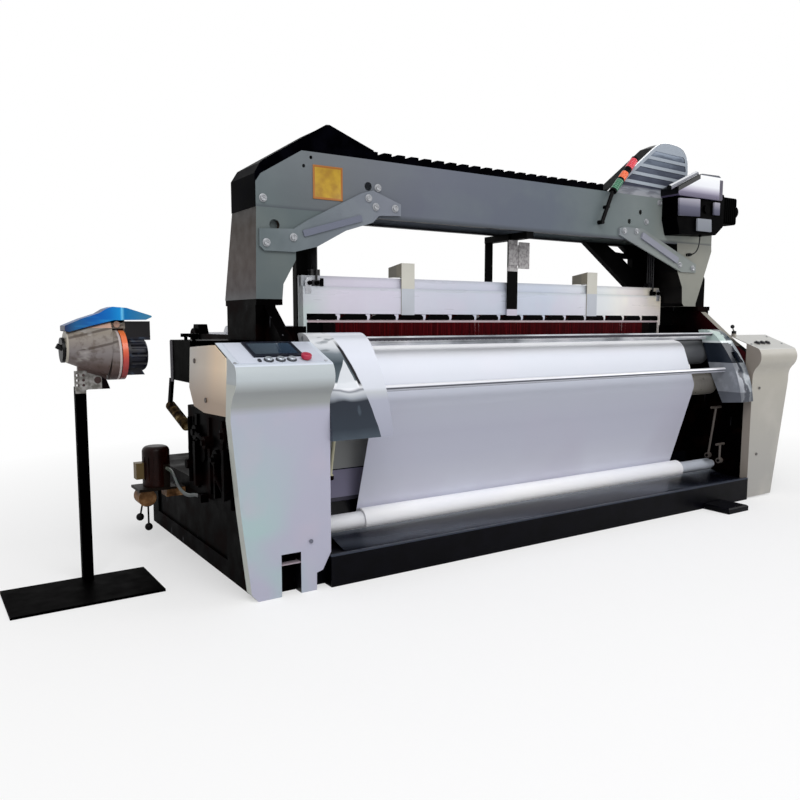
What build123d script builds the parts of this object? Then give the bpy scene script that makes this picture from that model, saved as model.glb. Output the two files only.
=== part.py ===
from build123d import *
import os
from math import asin, atan2, cos, degrees, hypot, pi, radians, sin, tan

# Frame: X along the weaving width, Y from the weaver to the warp beam, Z up, millimetres.
# The origin is on the floor under the front beam, midway between the two front covers.

# Side frames and cross beams
wall_inner = 1745
wall_thickness = 60
base_depth = 1730
base_height = 420
wall_outer = wall_inner + wall_thickness
left_base_overhang = 253
right_base_overhang = 195
housing_depth = 700
left_housing_overhang = 345
right_housing_overhang = 305
left_base_reach = wall_outer + left_base_overhang
right_base_reach = wall_outer + right_base_overhang
left_housing_reach = wall_outer + left_housing_overhang
right_housing_reach = wall_outer + right_housing_overhang
left_housing_top = 850
right_housing_top = 900
boss_radius = 55
boss_height = 20
beam_half_length = 1690
beam_height = 150
beam_depth = 180
beam_front = -12
beam_wall = 8
strip_height = 8
strip_width = 20
foot_plate_height = 38
rear_beam_depth = 120
rear_beam_height = 110
rear_beam_z = 20

# Front covers
sheet = 4
cover_inner = 1686
cover_return = 60
panel_front = (-35, 1085)
panel_back_y = 200
panel_slope = 21.6
panel_outer = 2166
lip_start_z = 880
lip_radius = 110

# Rolls, as (y, z) of each axis
running = 0.05
journal_radius = 30
roller_half_length = 1600
take_up_axis = (375, 1050)
take_up_radius = 88
guide_axis = (285, 828)
guide_radius = 82
roll_axis = (330, 205)
roll_radius = 65
core_radius = 50
core_tube_radius = 45
core_end = 1702
roll_half_length = 1332
backrest_axis = (1560, 1180)
backrest_radius = 70
warp_axis = (1450, 520)
warp_flange_radius = 400
warp_yarn_radius = 320
warp_barrel_radius = 110
warp_half_length = 1580
flange_thickness = 25

# Cloth between the fell and the cloth roll
fell = (484, 1165)
cloth_half_width = 1325
cloth_thickness = 2
soft_gap = 0.3

# Sley and reed
sley_axis = (620, 450)
sley_tube_radius = 40
race_front = 560
race_back = 640
race_bottom = 1050
race_top = 1130
sword_count = 5
sword_spacing = 750
sword_width = 60
reed_front = 585
reed_thickness = 14
reed_foot = 1112
reed_top = 1188
reed_half_length = 1400
reed_end = 40
dent_count = 90
dent_gap = 14

# Heald frames
frame_half_length = 1501
frame_front = 650
frame_thickness = 12
frame_pitch = 18
frame_bottom = 880
bottom_rail_height = 110
top_rail_bottom = 1320
top_rail_height = 150
stile_width = 20
hook_height = 35
hook_count = 15
heald_bar_height = 14
heald_count = 44
heald_width = 10
heald_margin = 185
heald_half_span = frame_half_length - stile_width - heald_margin
heald_thickness = 4
shed_lift = 60
lift_rod_radius = 6
lift_rod_top = 1900
lift_rod_inset = 86
guide_strip_height = 305

# Gantry
gantry_front = 470
gantry_depth = 330
gantry_half_length = 1842
gantry_bottom = 1840
seam_z = 1850
seam_x = 1437
gantry_top = 2150
gantry_skin = 6
column_foot_z = 1390
column_foot_depth = 438
brace_thickness = 12
roof_height = 46
rib_count = 20

# Panel items, as x of each centre, on the sloping panels
screen_x = (-2048, -1798)
screen_y = (36, 192)
button_radius = 17
left_button_x = (-1990, -1932, -1877)
stop_button_x = -1806
left_button_y = 4
right_button_x = (1825, 1887, 1950)
right_button_y = 50

# Weft feeder on its stand
feeder_y = 745
feeder_z = 1112
feeder_spindle_radius = 20
feeder_housing_x = (-2716, -2476)
ring_x = (-2472, -2446)
drum_x = (-2442, -2337)
drum_radius = 82
plate_thickness = 12

housing_left = (1160, 75)
housing_right = (1143, 137)
flange_x = (-2523, -2476)
flange_radius = 122
post_top = 962

# Panels and levers inside the left wall
panel_front_y = 440
knee_panel_x = (-wall_inner, -1000)
knee_panel_z = (320, 668)
pale_rod = ((-1552, 200, 730), (-1583, 200, 491))
machinery_discs = ((120, 760, 34, 26), (205, 640, 26, 40), (345, 700, 30, 34), (520, 730, 36, 22))

# Ball lever and the two T-handles
lever_x = 1738
lever_y = 180
lever_z = 1188
lever_pin_radius = 6
tee_axes = ((270, 290), (176, 264))
tee_pin_x = (1600, wall_inner)
tee_pin_radius = 10

# Dobby on the front of the gantry
dobby_y = (340, gantry_front)
dobby_end = 1788
hood_skirt = 20
hood_tube = ((1178, 352, 2204), (1470, 352, 2329))
hood_tube_radius = 18

# Pump unit
pump_clearance = 54
pump_centre = (-max(left_base_reach + 92, left_housing_reach) - pump_clearance, 1100)
hose_x = pump_centre[0] + 34
hose_inlet = (hose_x, 430, 420)
pump_motor_radius = 74
pump_motor_z = (364, 587)
pump_hose_radius = 9
cable_radius = 4.5


# Shapes

def block(x, y, z):
    return Pos(sum(x) / 2, sum(y) / 2, sum(z) / 2) * Box(x[1] - x[0], y[1] - y[0], z[1] - z[0])


def shaft(x, axis, radius):
    return Pos(sum(x) / 2, axis[0], axis[1]) * Rot(0, 90, 0) * Cylinder(radius, x[1] - x[0])


def stud(x, y, z, radius):
    return Pos(x, sum(y) / 2, z) * Rot(90, 0, 0) * Cylinder(radius, y[1] - y[0])


def post(x, y, z, radius):
    return Pos(x, y, sum(z) / 2) * Cylinder(radius, z[1] - z[0])


def rod(start, end, radius, end_radius=None):
    run = Vector(*end) - Vector(*start)
    end_radius = end_radius or radius
    place = Plane(origin=start, z_dir=run)
    base = (Align.CENTER, Align.CENTER, Align.MIN)
    if end_radius == radius:
        return place * Cylinder(radius, run.length, align=base)
    return place * Cone(radius, end_radius, run.length, align=base)


def outline(points, corner=0):
    face = Polygon(*points, align=None)
    return fillet(face.vertices(), corner) if corner else face


def along_x(face, x):
    return Pos(x[0], 0, 0) * extrude(Plane.YZ * face, amount=x[1] - x[0], dir=(1, 0, 0))


def along_y(face, y):
    return Pos(0, y[0], 0) * extrude(Plane.XZ * face, amount=y[1] - y[0], dir=(0, 1, 0))


def panel_z(y):
    return panel_front[1] + (y - panel_front[0]) * tan(radians(panel_slope))


def panel_plane(x, y):
    normal = (0, -sin(radians(panel_slope)), cos(radians(panel_slope)))
    return Plane(origin=(x, y, panel_z(y)), x_dir=(1, 0, 0), z_dir=normal)


def on_panel(x, y, radius, low, high):
    return panel_plane(x, y) * Pos(0, 0, (low + high) / 2) * Cylinder(radius, high - low)


# Side frames

wall_points = [
    (cover_return + sheet, 0), (cover_return + sheet, 200), (sheet, 200), (sheet, 860), (80, 1050),
    (panel_back_y, 1130), (gantry_front, 1350), (gantry_front, column_foot_z),
    (gantry_front + column_foot_depth, column_foot_z), (930, 1200),
    (1490, 1200), (1520, 1260), (1600, 1260), (1640, 1150), (1580, 900), (1640, 560),
    (base_depth, 300), (base_depth, 0),
]
bearing_axes = (take_up_axis, guide_axis, roll_axis, sley_axis, warp_axis, backrest_axis)
front_window = [(470, 640), (860, 640), (900, 980), (560, 980)]
rear_window = [(760, 90), (1060, 90), (1020, 300), (800, 300)]
frame_guide_z = (980, 1250)
frame_guide_y = (frame_front - 12, frame_front + 3 * frame_pitch + frame_thickness + 12)
frame_guide_x = frame_half_length - 11
frame_rows = [frame_front + row * frame_pitch for row in range(4)]


def side_frame(base_reach, housing_reach, housing_z):
    wall = along_x(outline(wall_points), (wall_inner, wall_outer))
    wall -= along_x(outline(front_window, 40), (wall_inner, wall_outer))
    wall -= along_x(outline(rear_window, 30), (wall_inner, wall_outer))
    pedestal = block((wall_inner, gantry_half_length + 9), (gantry_front + 10, 880), (1100, column_foot_z))
    pad = block((1706, gantry_half_length + 9), (gantry_front, 900), (column_foot_z - 30, column_foot_z))
    sill = block((wall_outer, base_reach), (cover_return + sheet, base_depth), (0, base_height))
    sill -= block((base_reach - 12, base_reach), (400, base_depth - 120), (90, base_height - 90))
    housing = block((wall_outer, housing_reach), (cover_return + sheet, housing_depth), housing_z)
    housing = fillet(housing.edges().filter_by(Axis.Z).group_by(Axis.X)[-1], 30)
    body = wall + pedestal + pad + sill + housing
    for y in (150, 330, 510):
        rib_z = (housing_z[0] + 30, housing_z[1] - 30)
        body += block((housing_reach, housing_reach + 10), (y, y + 30), rib_z)
    for y in (250, 430, 600):
        body += shaft((housing_reach, housing_reach + 14), (y, sum(housing_z) / 2), 42)
    guide = block((frame_guide_x, wall_inner), frame_guide_y, frame_guide_z)
    for y in frame_rows:
        groove_y = (y - soft_gap, y + frame_thickness + soft_gap)
        guide -= block((frame_guide_x, frame_half_length + soft_gap), groove_y, frame_guide_z)
    body += guide
    for axis in bearing_axes:
        body += shaft((wall_outer, wall_outer + boss_height), axis, boss_radius)
    for axis in bearing_axes:
        body -= shaft((wall_inner, wall_outer + boss_height), axis, journal_radius + running)
    return body


def right_side_frame():
    body = side_frame(right_base_reach, right_housing_reach, (300, right_housing_top))
    for axis in tee_axes:
        body += shaft(tee_pin_x, axis, tee_pin_radius)
    upright = [(1790, 1200), (1905, 1200), (1905, 1606), (1885, 1634), (1790, 1640)]
    return body + along_y(outline(upright), (560, 600))


def left_side_frame():
    housing_z = (base_height, left_housing_top)
    body = mirror(side_frame(left_base_reach, left_housing_reach, housing_z), about=Plane.YZ)
    inlet_x = (hose_inlet[0] - 20, -left_housing_reach)
    body += block(inlet_x, (hose_inlet[1] - 40, hose_inlet[1]), (hose_inlet[2] - 20, hose_inlet[2] + 20))
    body += block(knee_panel_x, (panel_front_y, panel_front_y + sheet), knee_panel_z)
    foot = pale_rod[1]
    body += shaft((-wall_inner, foot[0] + 14), foot[1:], 16)
    body += rod(foot, pale_rod[0], 9)
    return body + side_machinery()


def side_machinery():
    face = -left_housing_reach
    pieces = []
    for y, z, radius, length in machinery_discs:
        pieces.append(shaft((face - length, face), (y, z), radius))
        pieces.append(shaft((face - length - 12, face - length), (y, z), radius * 0.45))
    pieces.append(block((face - 30, face), (90, 118), (470, 700)))
    pieces.append(block((face - 24, face), (230, 246), (450, 640)))
    pieces.append(block((face - 36, face), (470, 500), (470, 690)))
    pieces.append(shaft((face - 40, face), (600, 560), 24))
    pieces.append(rod((face - 18, 104, 480), (face - 18, 238, 560), 9))
    pieces.append(rod((face - 18, 345, 700), (face - 18, 520, 730), 11))
    pieces.append(rod((face - 14, 600, 470), (face - 14, 600, 800), 12))
    return pieces


def front_beam():
    ends = (-beam_half_length, beam_half_length)
    beam = block(ends, (beam_front, beam_depth), (0, beam_height))
    hollow_y = (beam_front + beam_wall, beam_depth - beam_wall)
    beam -= block(ends, hollow_y, (beam_wall, beam_height - beam_wall))
    beam += block((-wall_inner, wall_inner), (cover_return + sheet, beam_depth), (0, beam_height - 20))
    beam += block(ends, (beam_front, beam_front + strip_width), (beam_height, beam_height + strip_height))
    foot = block((1183, 1400), (-208, beam_front), (0, foot_plate_height))
    return beam + chamfer(foot.edges().group_by(Axis.Z)[-1], 8)


def rear_beam():
    y = (base_depth - rear_beam_depth, base_depth)
    z = (rear_beam_z, rear_beam_z + rear_beam_height)
    beam = block((-wall_inner, wall_inner), y, z)
    slot_y = (y[0] + 12, y[1])
    return beam - block((-wall_inner, wall_inner), slot_y, (z[0] + 12, z[1] - 12))


def front_shield():
    low = beam_height + sheet / 2
    path = Polyline(
        (strip_width, low), (55, low), (215, 248), (232, 246), (262, 118), (400, 118), (450, 300)
    )
    return along_x(trace(path, line_width=sheet), (-1588, 1588))


# Front covers

left_cover_points = [
    (-2061, 0), (-2093, 37), (-2138, 421), (-2176, 838), (-panel_outer, 1078), (-panel_outer, 1300),
    (-cover_inner, 1300), (-cover_inner, 174), (-1731, 93), (-1763, 84), (-1764, 0),
    (-1845, 0), (-1845, 200), (-1945, 200), (-1945, 0),
]
right_cover_points = [
    (1700, 10), (2000, 10), (2162, 843), (panel_outer, 1078), (panel_outer, 1300), (1713, 1300), (1713, 1085),
]


def cover_profile(back):
    turn = radians(45)
    lip_mid = (-lip_radius * (1 - cos(turn)), lip_start_z + lip_radius * sin(turn))
    edges = Line((0, -60), (0, lip_start_z))
    edges += RadiusArc((0, lip_start_z), lip_mid, -lip_radius)
    edges += TangentArc(lip_mid, panel_front, tangent=(-sin(turn), cos(turn)))
    edges += Line(panel_front, (back, panel_z(back)))
    edges += Line((back, panel_z(back)), (back, -60))
    edges += Line((back, -60), (0, -60))
    return make_face(edges)


def front_cover(points, panel_x):
    reach = (min(p[0] for p in points) - 10, max(p[0] for p in points) + 10)
    front = outline(points)
    outer = along_x(cover_profile(cover_return), reach) & along_y(front, (-200, 400))
    inner_profile = offset(cover_profile(cover_return + 200), -sheet)
    inner = along_x(inner_profile, reach) & along_y(offset(front, -sheet), (-200, 400))
    cover = outer - inner
    top = [
        (cover_return - 1, panel_z(cover_return - 1)), (panel_back_y, panel_z(panel_back_y)),
        (panel_back_y, panel_z(panel_back_y) - sheet), (cover_return - 1, panel_z(cover_return - 1) - sheet),
    ]
    return cover + along_x(outline(top), panel_x)


def button_seat(cover, x, y, rim):
    cover += on_panel(x, y, button_radius + 5, 0, rim)
    return cover - on_panel(x, y, button_radius + running, -30, rim)


def left_front_cover():
    cover = front_cover(left_cover_points, (-panel_outer, -cover_inner))
    for x in left_button_x + (stop_button_x,):
        cover = button_seat(cover, x, left_button_y, 4)
    for x in (-2145, -1712):
        cover += on_panel(x, -14, 6, 0, 3)
    cover += block((-1945, -1845), (sheet, 40), (146, 152))
    return cover + stud(-1793, (-6, 0), 243, 10)


def right_front_cover():
    cover = front_cover(right_cover_points, (1713, panel_outer))
    for x in right_button_x:
        cover = button_seat(cover, x, right_button_y, 4)
    for x, z in ((1795, 801), (1796, 320)):
        cover += stud(x, (-6, 0), z, 10)
    cover += post(lever_x, lever_y, (panel_z(lever_y) - sheet, lever_z), 17)
    return cover + post(lever_x, lever_y, (lever_z, lever_z + 24), lever_pin_radius)


def ball_lever():
    hub = post(lever_x, lever_y, (lever_z, lever_z + 20), 16)
    ball = (1672, 150, 1240)
    arm = rod((lever_x - 10, lever_y - 5, lever_z + 12), ball, 4)
    body = hub + arm + Pos(*ball) * Rot(0, 0, 90) * Sphere(14)
    return body - post(lever_x, lever_y, (lever_z, lever_z + 24), lever_pin_radius + running)


def push_button(x, y):
    cap = on_panel(x, y, button_radius, -12, 16)
    return chamfer(cap.edges().group_by(Axis.Z)[-1], 2)


def stop_button():
    stem = on_panel(stop_button_x, left_button_y, button_radius, -12, 14)
    head = on_panel(stop_button_x, left_button_y, 25, 12, 30)
    head = fillet(head.edges().group_by(Axis.Z)[-1], 6)
    return stem + head


def control_screen():
    width = screen_x[1] - screen_x[0]
    length = (screen_y[1] - screen_y[0]) / cos(radians(panel_slope))
    place = panel_plane(sum(screen_x) / 2, sum(screen_y) / 2)
    bezel = place * Pos(0, 0, 4) * Box(width, length, 8)
    bezel = chamfer(bezel.edges().group_by(Axis.Z)[-1], 2)
    return bezel - place * Pos(0, 4, 8) * Box(width - 36, length - 44, 4)


plate_x = (-panel_outer - sheet, -panel_outer)


def left_side_plate():
    points = [
        (cover_return, 852), (cover_return, panel_z(cover_return) - 10),
        (panel_back_y, panel_z(panel_back_y) - 10), (262, 1166), (552, 1150), (579, 950), (515, 862),
        (369, 842),
    ]
    plate = along_x(outline(points, 8), plate_x)
    for y, z in ((480, 1085), (330, 905)):
        plate += shaft((plate_x[0] - 6, plate_x[0]), (y, z), 12)
    return plate


box_y = (560, 890)
box_z = (970, 1180)
cylinder_ends = ((984, 819), (712, 737))


def tension_box():
    body = block((-panel_outer, -gantry_half_length - 9), box_y, box_z)
    body += block((-panel_outer - 5, -panel_outer), (850, 884), (box_z[0] - 10, box_z[1] - 4))
    arm = along_x(outline([(888, 975), (926, 975), (978, 812), (940, 800)]), (-panel_outer, -2150))
    body += arm
    x = -2158 + 12
    (y0, z0), (y1, z1) = cylinder_ends
    body += rod((x, y0, z0), (x, y1, z1), 27)
    body += block((-2162, -2130), (housing_depth, housing_depth + 14), (z1 - 18, z1 + 14))
    for y, x in ((640, -2120), (770, -2120)):
        body += post(x, y, (box_z[1], box_z[1] + 16), 9)
        body += post(x, y, (box_z[1] + 16, box_z[1] + 34), 26)
    return body


# Guards and rails round the cloth

guard_outer = [(341, 1215), (232, 1201), (131, 1102), (46, 970), (-28, 713)]
guard_inner = [(122, 699), (214, 888), (290, 1105)]
guard_wall = 4
guard_bar_axis = (120, 935)
guard_bar_radius = 17
left_guard_x = (-cover_inner, -1350)
right_guard_x = (1545, cover_inner)


guard_pocket = [
    (-12, 728), (60, 962), (142, 1088), (238, 1184), (330, 1198), (400, 1100), (300, 880), (160, 714),
]


def selvedge_guard(x, tab_x):
    edges = Spline(*guard_outer)
    edges += Polyline(guard_outer[-1], *guard_inner, guard_outer[0])
    guard = along_x(make_face(edges), x)
    guard -= along_x(outline(guard_pocket), (x[0] + guard_wall, x[1] - guard_wall))
    return guard + block(tab_x, (96, 126), (820, 850))


def left_selvedge_guard():
    return selvedge_guard(left_guard_x, (-wall_inner, left_guard_x[0]))


def right_selvedge_guard():
    guard = selvedge_guard(right_guard_x, (right_guard_x[1], wall_inner))
    return guard - block((1590, 1640), (0, 140), (985, 1060))


def guard_bar():
    return shaft((left_guard_x[1], right_guard_x[0]), guard_bar_axis, guard_bar_radius)


def top_rail():
    ends = (left_guard_x[1], right_guard_x[0])
    rail = block(ends, (222, 246), (1176, 1198))
    return rail + shaft(ends, (283, 1160), 12)


# Cloth, rollers and beams

def tangent_line(start, end, start_radius, end_radius):
    run = (end[0] - start[0], end[1] - start[1])
    heading = atan2(run[1], run[0]) - asin((end_radius - start_radius) / hypot(*run))
    normal = (-sin(heading), cos(heading))
    touch = [
        (c[0] - normal[0] * r, c[1] - normal[1] * r) for c, r in ((start, start_radius), (end, end_radius))
    ]
    return touch


def cloth_web():
    skin = soft_gap + cloth_thickness / 2
    turns = [
        (fell, 0), (take_up_axis, take_up_radius + skin), (guide_axis, guide_radius + skin),
        (roll_axis, -roll_radius - skin),
    ]
    runs = [tangent_line(a[0], b[0], a[1], b[1]) for a, b in zip(turns, turns[1:])]
    path = Line(*runs[0])
    for (centre, radius), before, after in zip(turns[1:], runs, runs[1:]):
        path += RadiusArc(before[1], after[0], -radius)
        path += Line(*after)
    return along_x(trace(path, line_width=cloth_thickness), (-cloth_half_width, cloth_half_width))


def roller(axis, radius):
    end = wall_inner + wall_thickness - 5
    body = shaft((-roller_half_length, roller_half_length), axis, radius)
    return body + shaft((-end, end), axis, journal_radius)


def cloth_core():
    end = wall_inner + wall_thickness - 5
    body = shaft((-wall_inner + 15, roll_half_length + 8), roll_axis, core_radius)
    tube = shaft((roll_half_length, core_end), roll_axis, core_tube_radius)
    body += fillet(tube.edges().group_by(Axis.X)[-1], 10)
    return body + shaft((-end, end), roll_axis, journal_radius)


def cloth_roll():
    ends = (-roll_half_length, roll_half_length)
    return shaft(ends, roll_axis, roll_radius) - shaft(ends, roll_axis, core_radius)


def warp_beam():
    end = wall_inner + wall_thickness - 5
    body = shaft((-warp_half_length, warp_half_length), warp_axis, warp_barrel_radius)
    for side in (-1, 1):
        x = sorted((side * warp_half_length, side * (warp_half_length - flange_thickness)))
        flange = shaft(x, warp_axis, warp_flange_radius)
        for turn in range(6):
            angle = turn * pi / 3
            hole = (warp_axis[0] + 362 * cos(angle), warp_axis[1] + 362 * sin(angle))
            flange -= shaft(x, hole, 18)
        body += flange
    return body + shaft((-end, end), warp_axis, journal_radius)


def warp_yarn():
    inner = warp_half_length - flange_thickness
    ends = (-inner, inner)
    return shaft(ends, warp_axis, warp_yarn_radius) - shaft(ends, warp_axis, warp_barrel_radius)


# Sley, reed and heald frames

def sley():
    end = wall_inner + wall_thickness - 5
    body = shaft((-1700, 1700), sley_axis, sley_tube_radius)
    body += shaft((-end, end), sley_axis, journal_radius)
    race = block((-1480, 1480), (race_front, race_back), (race_bottom, race_top))
    groove_y = (reed_front, reed_front + reed_thickness)
    race -= block((-1480, 1480), groove_y, (reed_foot, race_top))
    body += race
    sword_top = race_bottom + 5
    sword = [
        (sley_axis[0] - 30, sley_axis[1]), (race_front + 22, sword_top), (race_back - 8, sword_top),
        (sley_axis[0] + 30, sley_axis[1]),
    ]
    first = -(sword_count - 1) / 2 * sword_spacing
    for place in range(sword_count):
        x = first + place * sword_spacing
        body += along_x(outline(sword), (x - sword_width / 2, x + sword_width / 2))
    return body


def reed():
    y = (reed_front, reed_front + reed_thickness)
    first = -reed_half_length + reed_end
    pitch = 2 * (reed_half_length - reed_end) / dent_count
    gaps = []
    for place in range(dent_count):
        x = first + (place + 0.5) * pitch
        gaps.append(block((x - dent_gap / 2, x + dent_gap / 2), y, (race_top + 4, reed_top - 10)))
    return block((-reed_half_length, reed_half_length), y, (reed_foot, reed_top)) - gaps


def heald_frame():
    y = (frame_front, frame_front + frame_thickness)
    middle = sum(y) / 2
    thin = (middle - heald_thickness / 2, middle + heald_thickness / 2)
    ends = (-frame_half_length, frame_half_length)
    top = top_rail_bottom + top_rail_height
    low = frame_bottom + bottom_rail_height
    bar_z = top_rail_bottom - hook_height
    low_bar = low + hook_height
    pieces = [block(ends, y, (top_rail_bottom, top))]
    for side in (-1, 1):
        x = sorted((side * frame_half_length, side * (frame_half_length - stile_width)))
        pieces.append(block(x, y, (frame_bottom, top)))
        rod_x = side * (frame_half_length - lift_rod_inset)
        pieces.append(post(rod_x, middle, (top, lift_rod_top), lift_rod_radius))
        pieces.append(block((rod_x - 28, rod_x + 28), y, (top, top + 34)))
    pieces.append(block(ends, thin, (bar_z - heald_bar_height, bar_z)))
    pieces.append(block(ends, thin, (low_bar, low_bar + heald_bar_height)))
    pitch = 2 * (frame_half_length - stile_width) / hook_count
    for place in range(1, hook_count):
        x = -frame_half_length + stile_width + place * pitch
        pieces.append(block((x - 14, x + 14), thin, (bar_z, top_rail_bottom)))
        pieces.append(block((x - 14, x + 14), thin, (low, low_bar)))
    spacing = 2 * heald_half_span / (heald_count - 1)
    for place in range(heald_count):
        x = -heald_half_span + place * spacing
        pieces.append(block((x - heald_width / 2, x + heald_width / 2), thin, (low_bar, bar_z)))
    return block(ends, y, (frame_bottom, low)) + pieces


guide_strips = ((-859, -766), (700, 800))
guide_arm_y = (frame_front - 6, frame_front + 140)


def guide_strip(x):
    foot = top_rail_bottom - 5
    top = foot + guide_strip_height
    inner = (x[0] + 8, x[1] - 8)
    strip = block(x, (frame_front - 6, frame_front), (foot, top))
    front, back = guide_arm_y
    ear = [(front, top - 80), (front, top), (back, top - 20), (back, top - 80)]
    for cheek in ((x[0], inner[0]), (inner[1], x[1])):
        strip += along_x(outline(ear), cheek)
    return strip + block(x, (guide_arm_y[0], guide_arm_y[1] - 40), (top - 80, top - 72))


def frame_guides():
    return Compound([guide_strip(x) for x in guide_strips])


# Uprights and gusset behind the ends of the heald frames, as (x, z)
upright_y = (740, 788)
left_upright = [(-1373, gantry_bottom), (-1432, gantry_bottom), (-1497, 1770), (-1497, 1250), (-1373, 1250)]
right_upright = [
    (778, gantry_bottom), (1430, gantry_bottom), (1445, 1636), (1500, 1531), (1507, 1410),
    (1507, 1250), (1373, 1250), (1373, 1442),
]
gusset_windows = (
    [(1000, 1832), (1165, 1832), (1250, 1778), (1088, 1786)],
    [(1166, 1742), (1276, 1745), (1278, 1668)],
)


def hanging_brackets():
    left = along_y(outline(left_upright), upright_y)
    right = along_y(outline(right_upright), upright_y)
    for window in gusset_windows:
        right -= along_y(outline(window), upright_y)
    return Compound([middle_bracket(), left, right])


def middle_bracket():
    cross_y = (gantry_front + gantry_skin, 890)
    cross = block((-30, 30), cross_y, (gantry_bottom - 40, gantry_bottom))
    front_arm = block((-41, 37), (632, 644), (1385, gantry_bottom))
    rear_arm = block((-30, 30), (874, 886), (1400, gantry_bottom))
    plate = block((40, 130), (620, 628), (1620, 1790))
    ear = block((-41, 45), (626, 632), (1640, 1770))
    strip = block((-51, 35), (626, 632), (top_rail_bottom - 5, top_rail_bottom + guide_strip_height))
    return cross + front_arm + rear_arm + plate + ear + strip


# Gantry

beam_corner = [(1842, 1972), (1814, 2013), (1587, gantry_top)]
beam_holes = ((-1190, 2006, 23), (1026, 2037, 17), (914, 1967, 17), (-1576, 2074, 9), (-1534, 2121, 9))


def gantry_outline(bottom):
    side = [(gantry_half_length, bottom)] + beam_corner
    return outline([(-x, z) for x, z in side] + side[::-1])


def gantry_beam():
    back = gantry_front + gantry_depth
    shell = along_y(gantry_outline(seam_z), (gantry_front, back))
    shell += block((-seam_x, seam_x), (gantry_front, back), (gantry_bottom, seam_z))
    inside = (gantry_front + gantry_skin, back - gantry_skin)
    shell -= along_y(offset(gantry_outline(gantry_bottom - 100), -gantry_skin), inside)
    for y in ((inside[0], inside[0] + 30), (inside[1] - 30, inside[1])):
        shell += block((-seam_x, seam_x), y, (gantry_bottom, gantry_bottom + gantry_skin))
    for x, z, radius in beam_holes:
        shell -= stud(x, (gantry_front, inside[0]), z, radius)
    return shell + block((-1526, -1349), (gantry_front - 2, gantry_front), (1912, 2087))


column_outer = gantry_half_length + 9
column_points = [
    (-gantry_half_length, seam_z), (-seam_x, seam_z), (-1626, 1654), (-1627, 1593), (-1699, 1468),
    (-1706, column_foot_z), (-column_outer, column_foot_z),
]


def column(points):
    back_foot = gantry_front + column_foot_depth
    back_top = gantry_front + gantry_depth
    depth = outline([
        (gantry_front, column_foot_z), (back_foot, column_foot_z), (back_top, seam_z), (gantry_front, seam_z),
    ])
    return along_y(outline(points), (gantry_front, back_foot)) & along_x(depth, (-1900, 1900))


def gantry_left_column():
    return column(column_points) - stud(-1744, (gantry_front, gantry_front + 30), 1764, 28)


gland_x = 1556
gland_z = 1768
gland_length = 12


def gantry_right_column():
    points = [
        (gantry_half_length, seam_z), (seam_x, seam_z), (1454, 1639), (1511, 1531), (1518, 1414),
        (1540, column_foot_z), (1669, column_foot_z), (1761, 1605), (1846, 1806),
    ]
    body = column(points)
    body += block((1669, 1706), (gantry_front + 20, 880), (column_foot_z, column_foot_z + 60))
    return body + stud(gland_x, (gantry_front - gland_length, gantry_front), gland_z, 13)


left_brace = [
    (-1832, 1740), (-1832, 1655), (-1805, 1632), (-1640, 1632), (-1510, 1665), (-1336, 1759), (-1167, 1813),
    (-1128, 1853), (-985, 1862), (-985, 1925), (-1165, 1985), (-1235, 1965), (-1560, 1800), (-1640, 1750),
]
right_brace = [(805, 1868), (805, 1912), (850, 1925), (1040, 1925), (1650, 1700), (1650, 1640), (1480, 1640)]
brace_y = (gantry_front - brace_thickness, gantry_front)


def rib_bar(start, end, width, height):
    run = (end[0] - start[0], end[1] - start[1])
    side = (-run[1] / hypot(*run) * width / 2, run[0] / hypot(*run) * width / 2)
    points = [
        (start[0] + side[0], start[1] + side[1]), (end[0] + side[0], end[1] + side[1]),
        (end[0] - side[0], end[1] - side[1]), (start[0] - side[0], start[1] - side[1]),
    ]
    return along_y(outline(points, 6), (brace_y[0] - height, brace_y[0]))


def brace_plates():
    left = along_y(outline(left_brace), brace_y) + rib_bar((-1590, 1728), (-1240, 1832), 34, 8)
    right = along_y(outline(right_brace), brace_y) + rib_bar((1026, 1877), (1424, 1718), 44, 14)
    return Compound([left, right])


plate_bolts = [
    (-1795, 1672), (-1645, 1706), (-1195, 1941), (-1150, 1898), (-1025, 1899),
    (852, 1897), (975, 1901), (1455, 1690), (1607, 1670),
]
beam_bolts = [(-1129, 2003), (1087, 1976), (1222, 2118), (-1805, 1893)]


def machine_bolts():
    heads = []
    for bolts, face in ((plate_bolts, brace_y[0]), (beam_bolts, gantry_front)):
        for x, z in bolts:
            washer = stud(x, (face - 4, face), z, 21)
            place = Plane(origin=(x, face - 4, z), x_dir=(1, 0, 0), z_dir=(0, -1, 0))
            heads.append(washer + place * extrude(RegularPolygon(15, 6), amount=12))
    return Compound(heads)


def gantry_roof():
    back = gantry_front + gantry_depth
    left = -gantry_half_length - 3
    peak = [
        (left, seam_z), (left, 2012), (-1808, 2070), (-1430, 2300), (-1150, gantry_top + roof_height),
        (650, gantry_top + roof_height), (650, gantry_top), (-1400, 1990), (-1400, seam_z),
    ]
    body = along_y(outline(peak), (gantry_front + 5, back))
    body -= along_y(gantry_outline(gantry_bottom - 100), (gantry_front, back))
    pitch = (650 + 1150) / rib_count
    for place in range(rib_count):
        x = -1150 + (place + 0.5) * pitch
        gap = (x - pitch * 0.22, x + pitch * 0.22)
        body -= block(gap, (gantry_front, back), (gantry_top + roof_height - 14, gantry_top + roof_height))
    return body


louvre_points = [
    (690, gantry_top), (1157, 2498), (1263, 2538), (1430, 2530), (1514, 2463), (1531, 2379),
    (1531, gantry_top),
]
louvre_y = (gantry_front, gantry_front + 130)
louvre_count = 5


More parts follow.
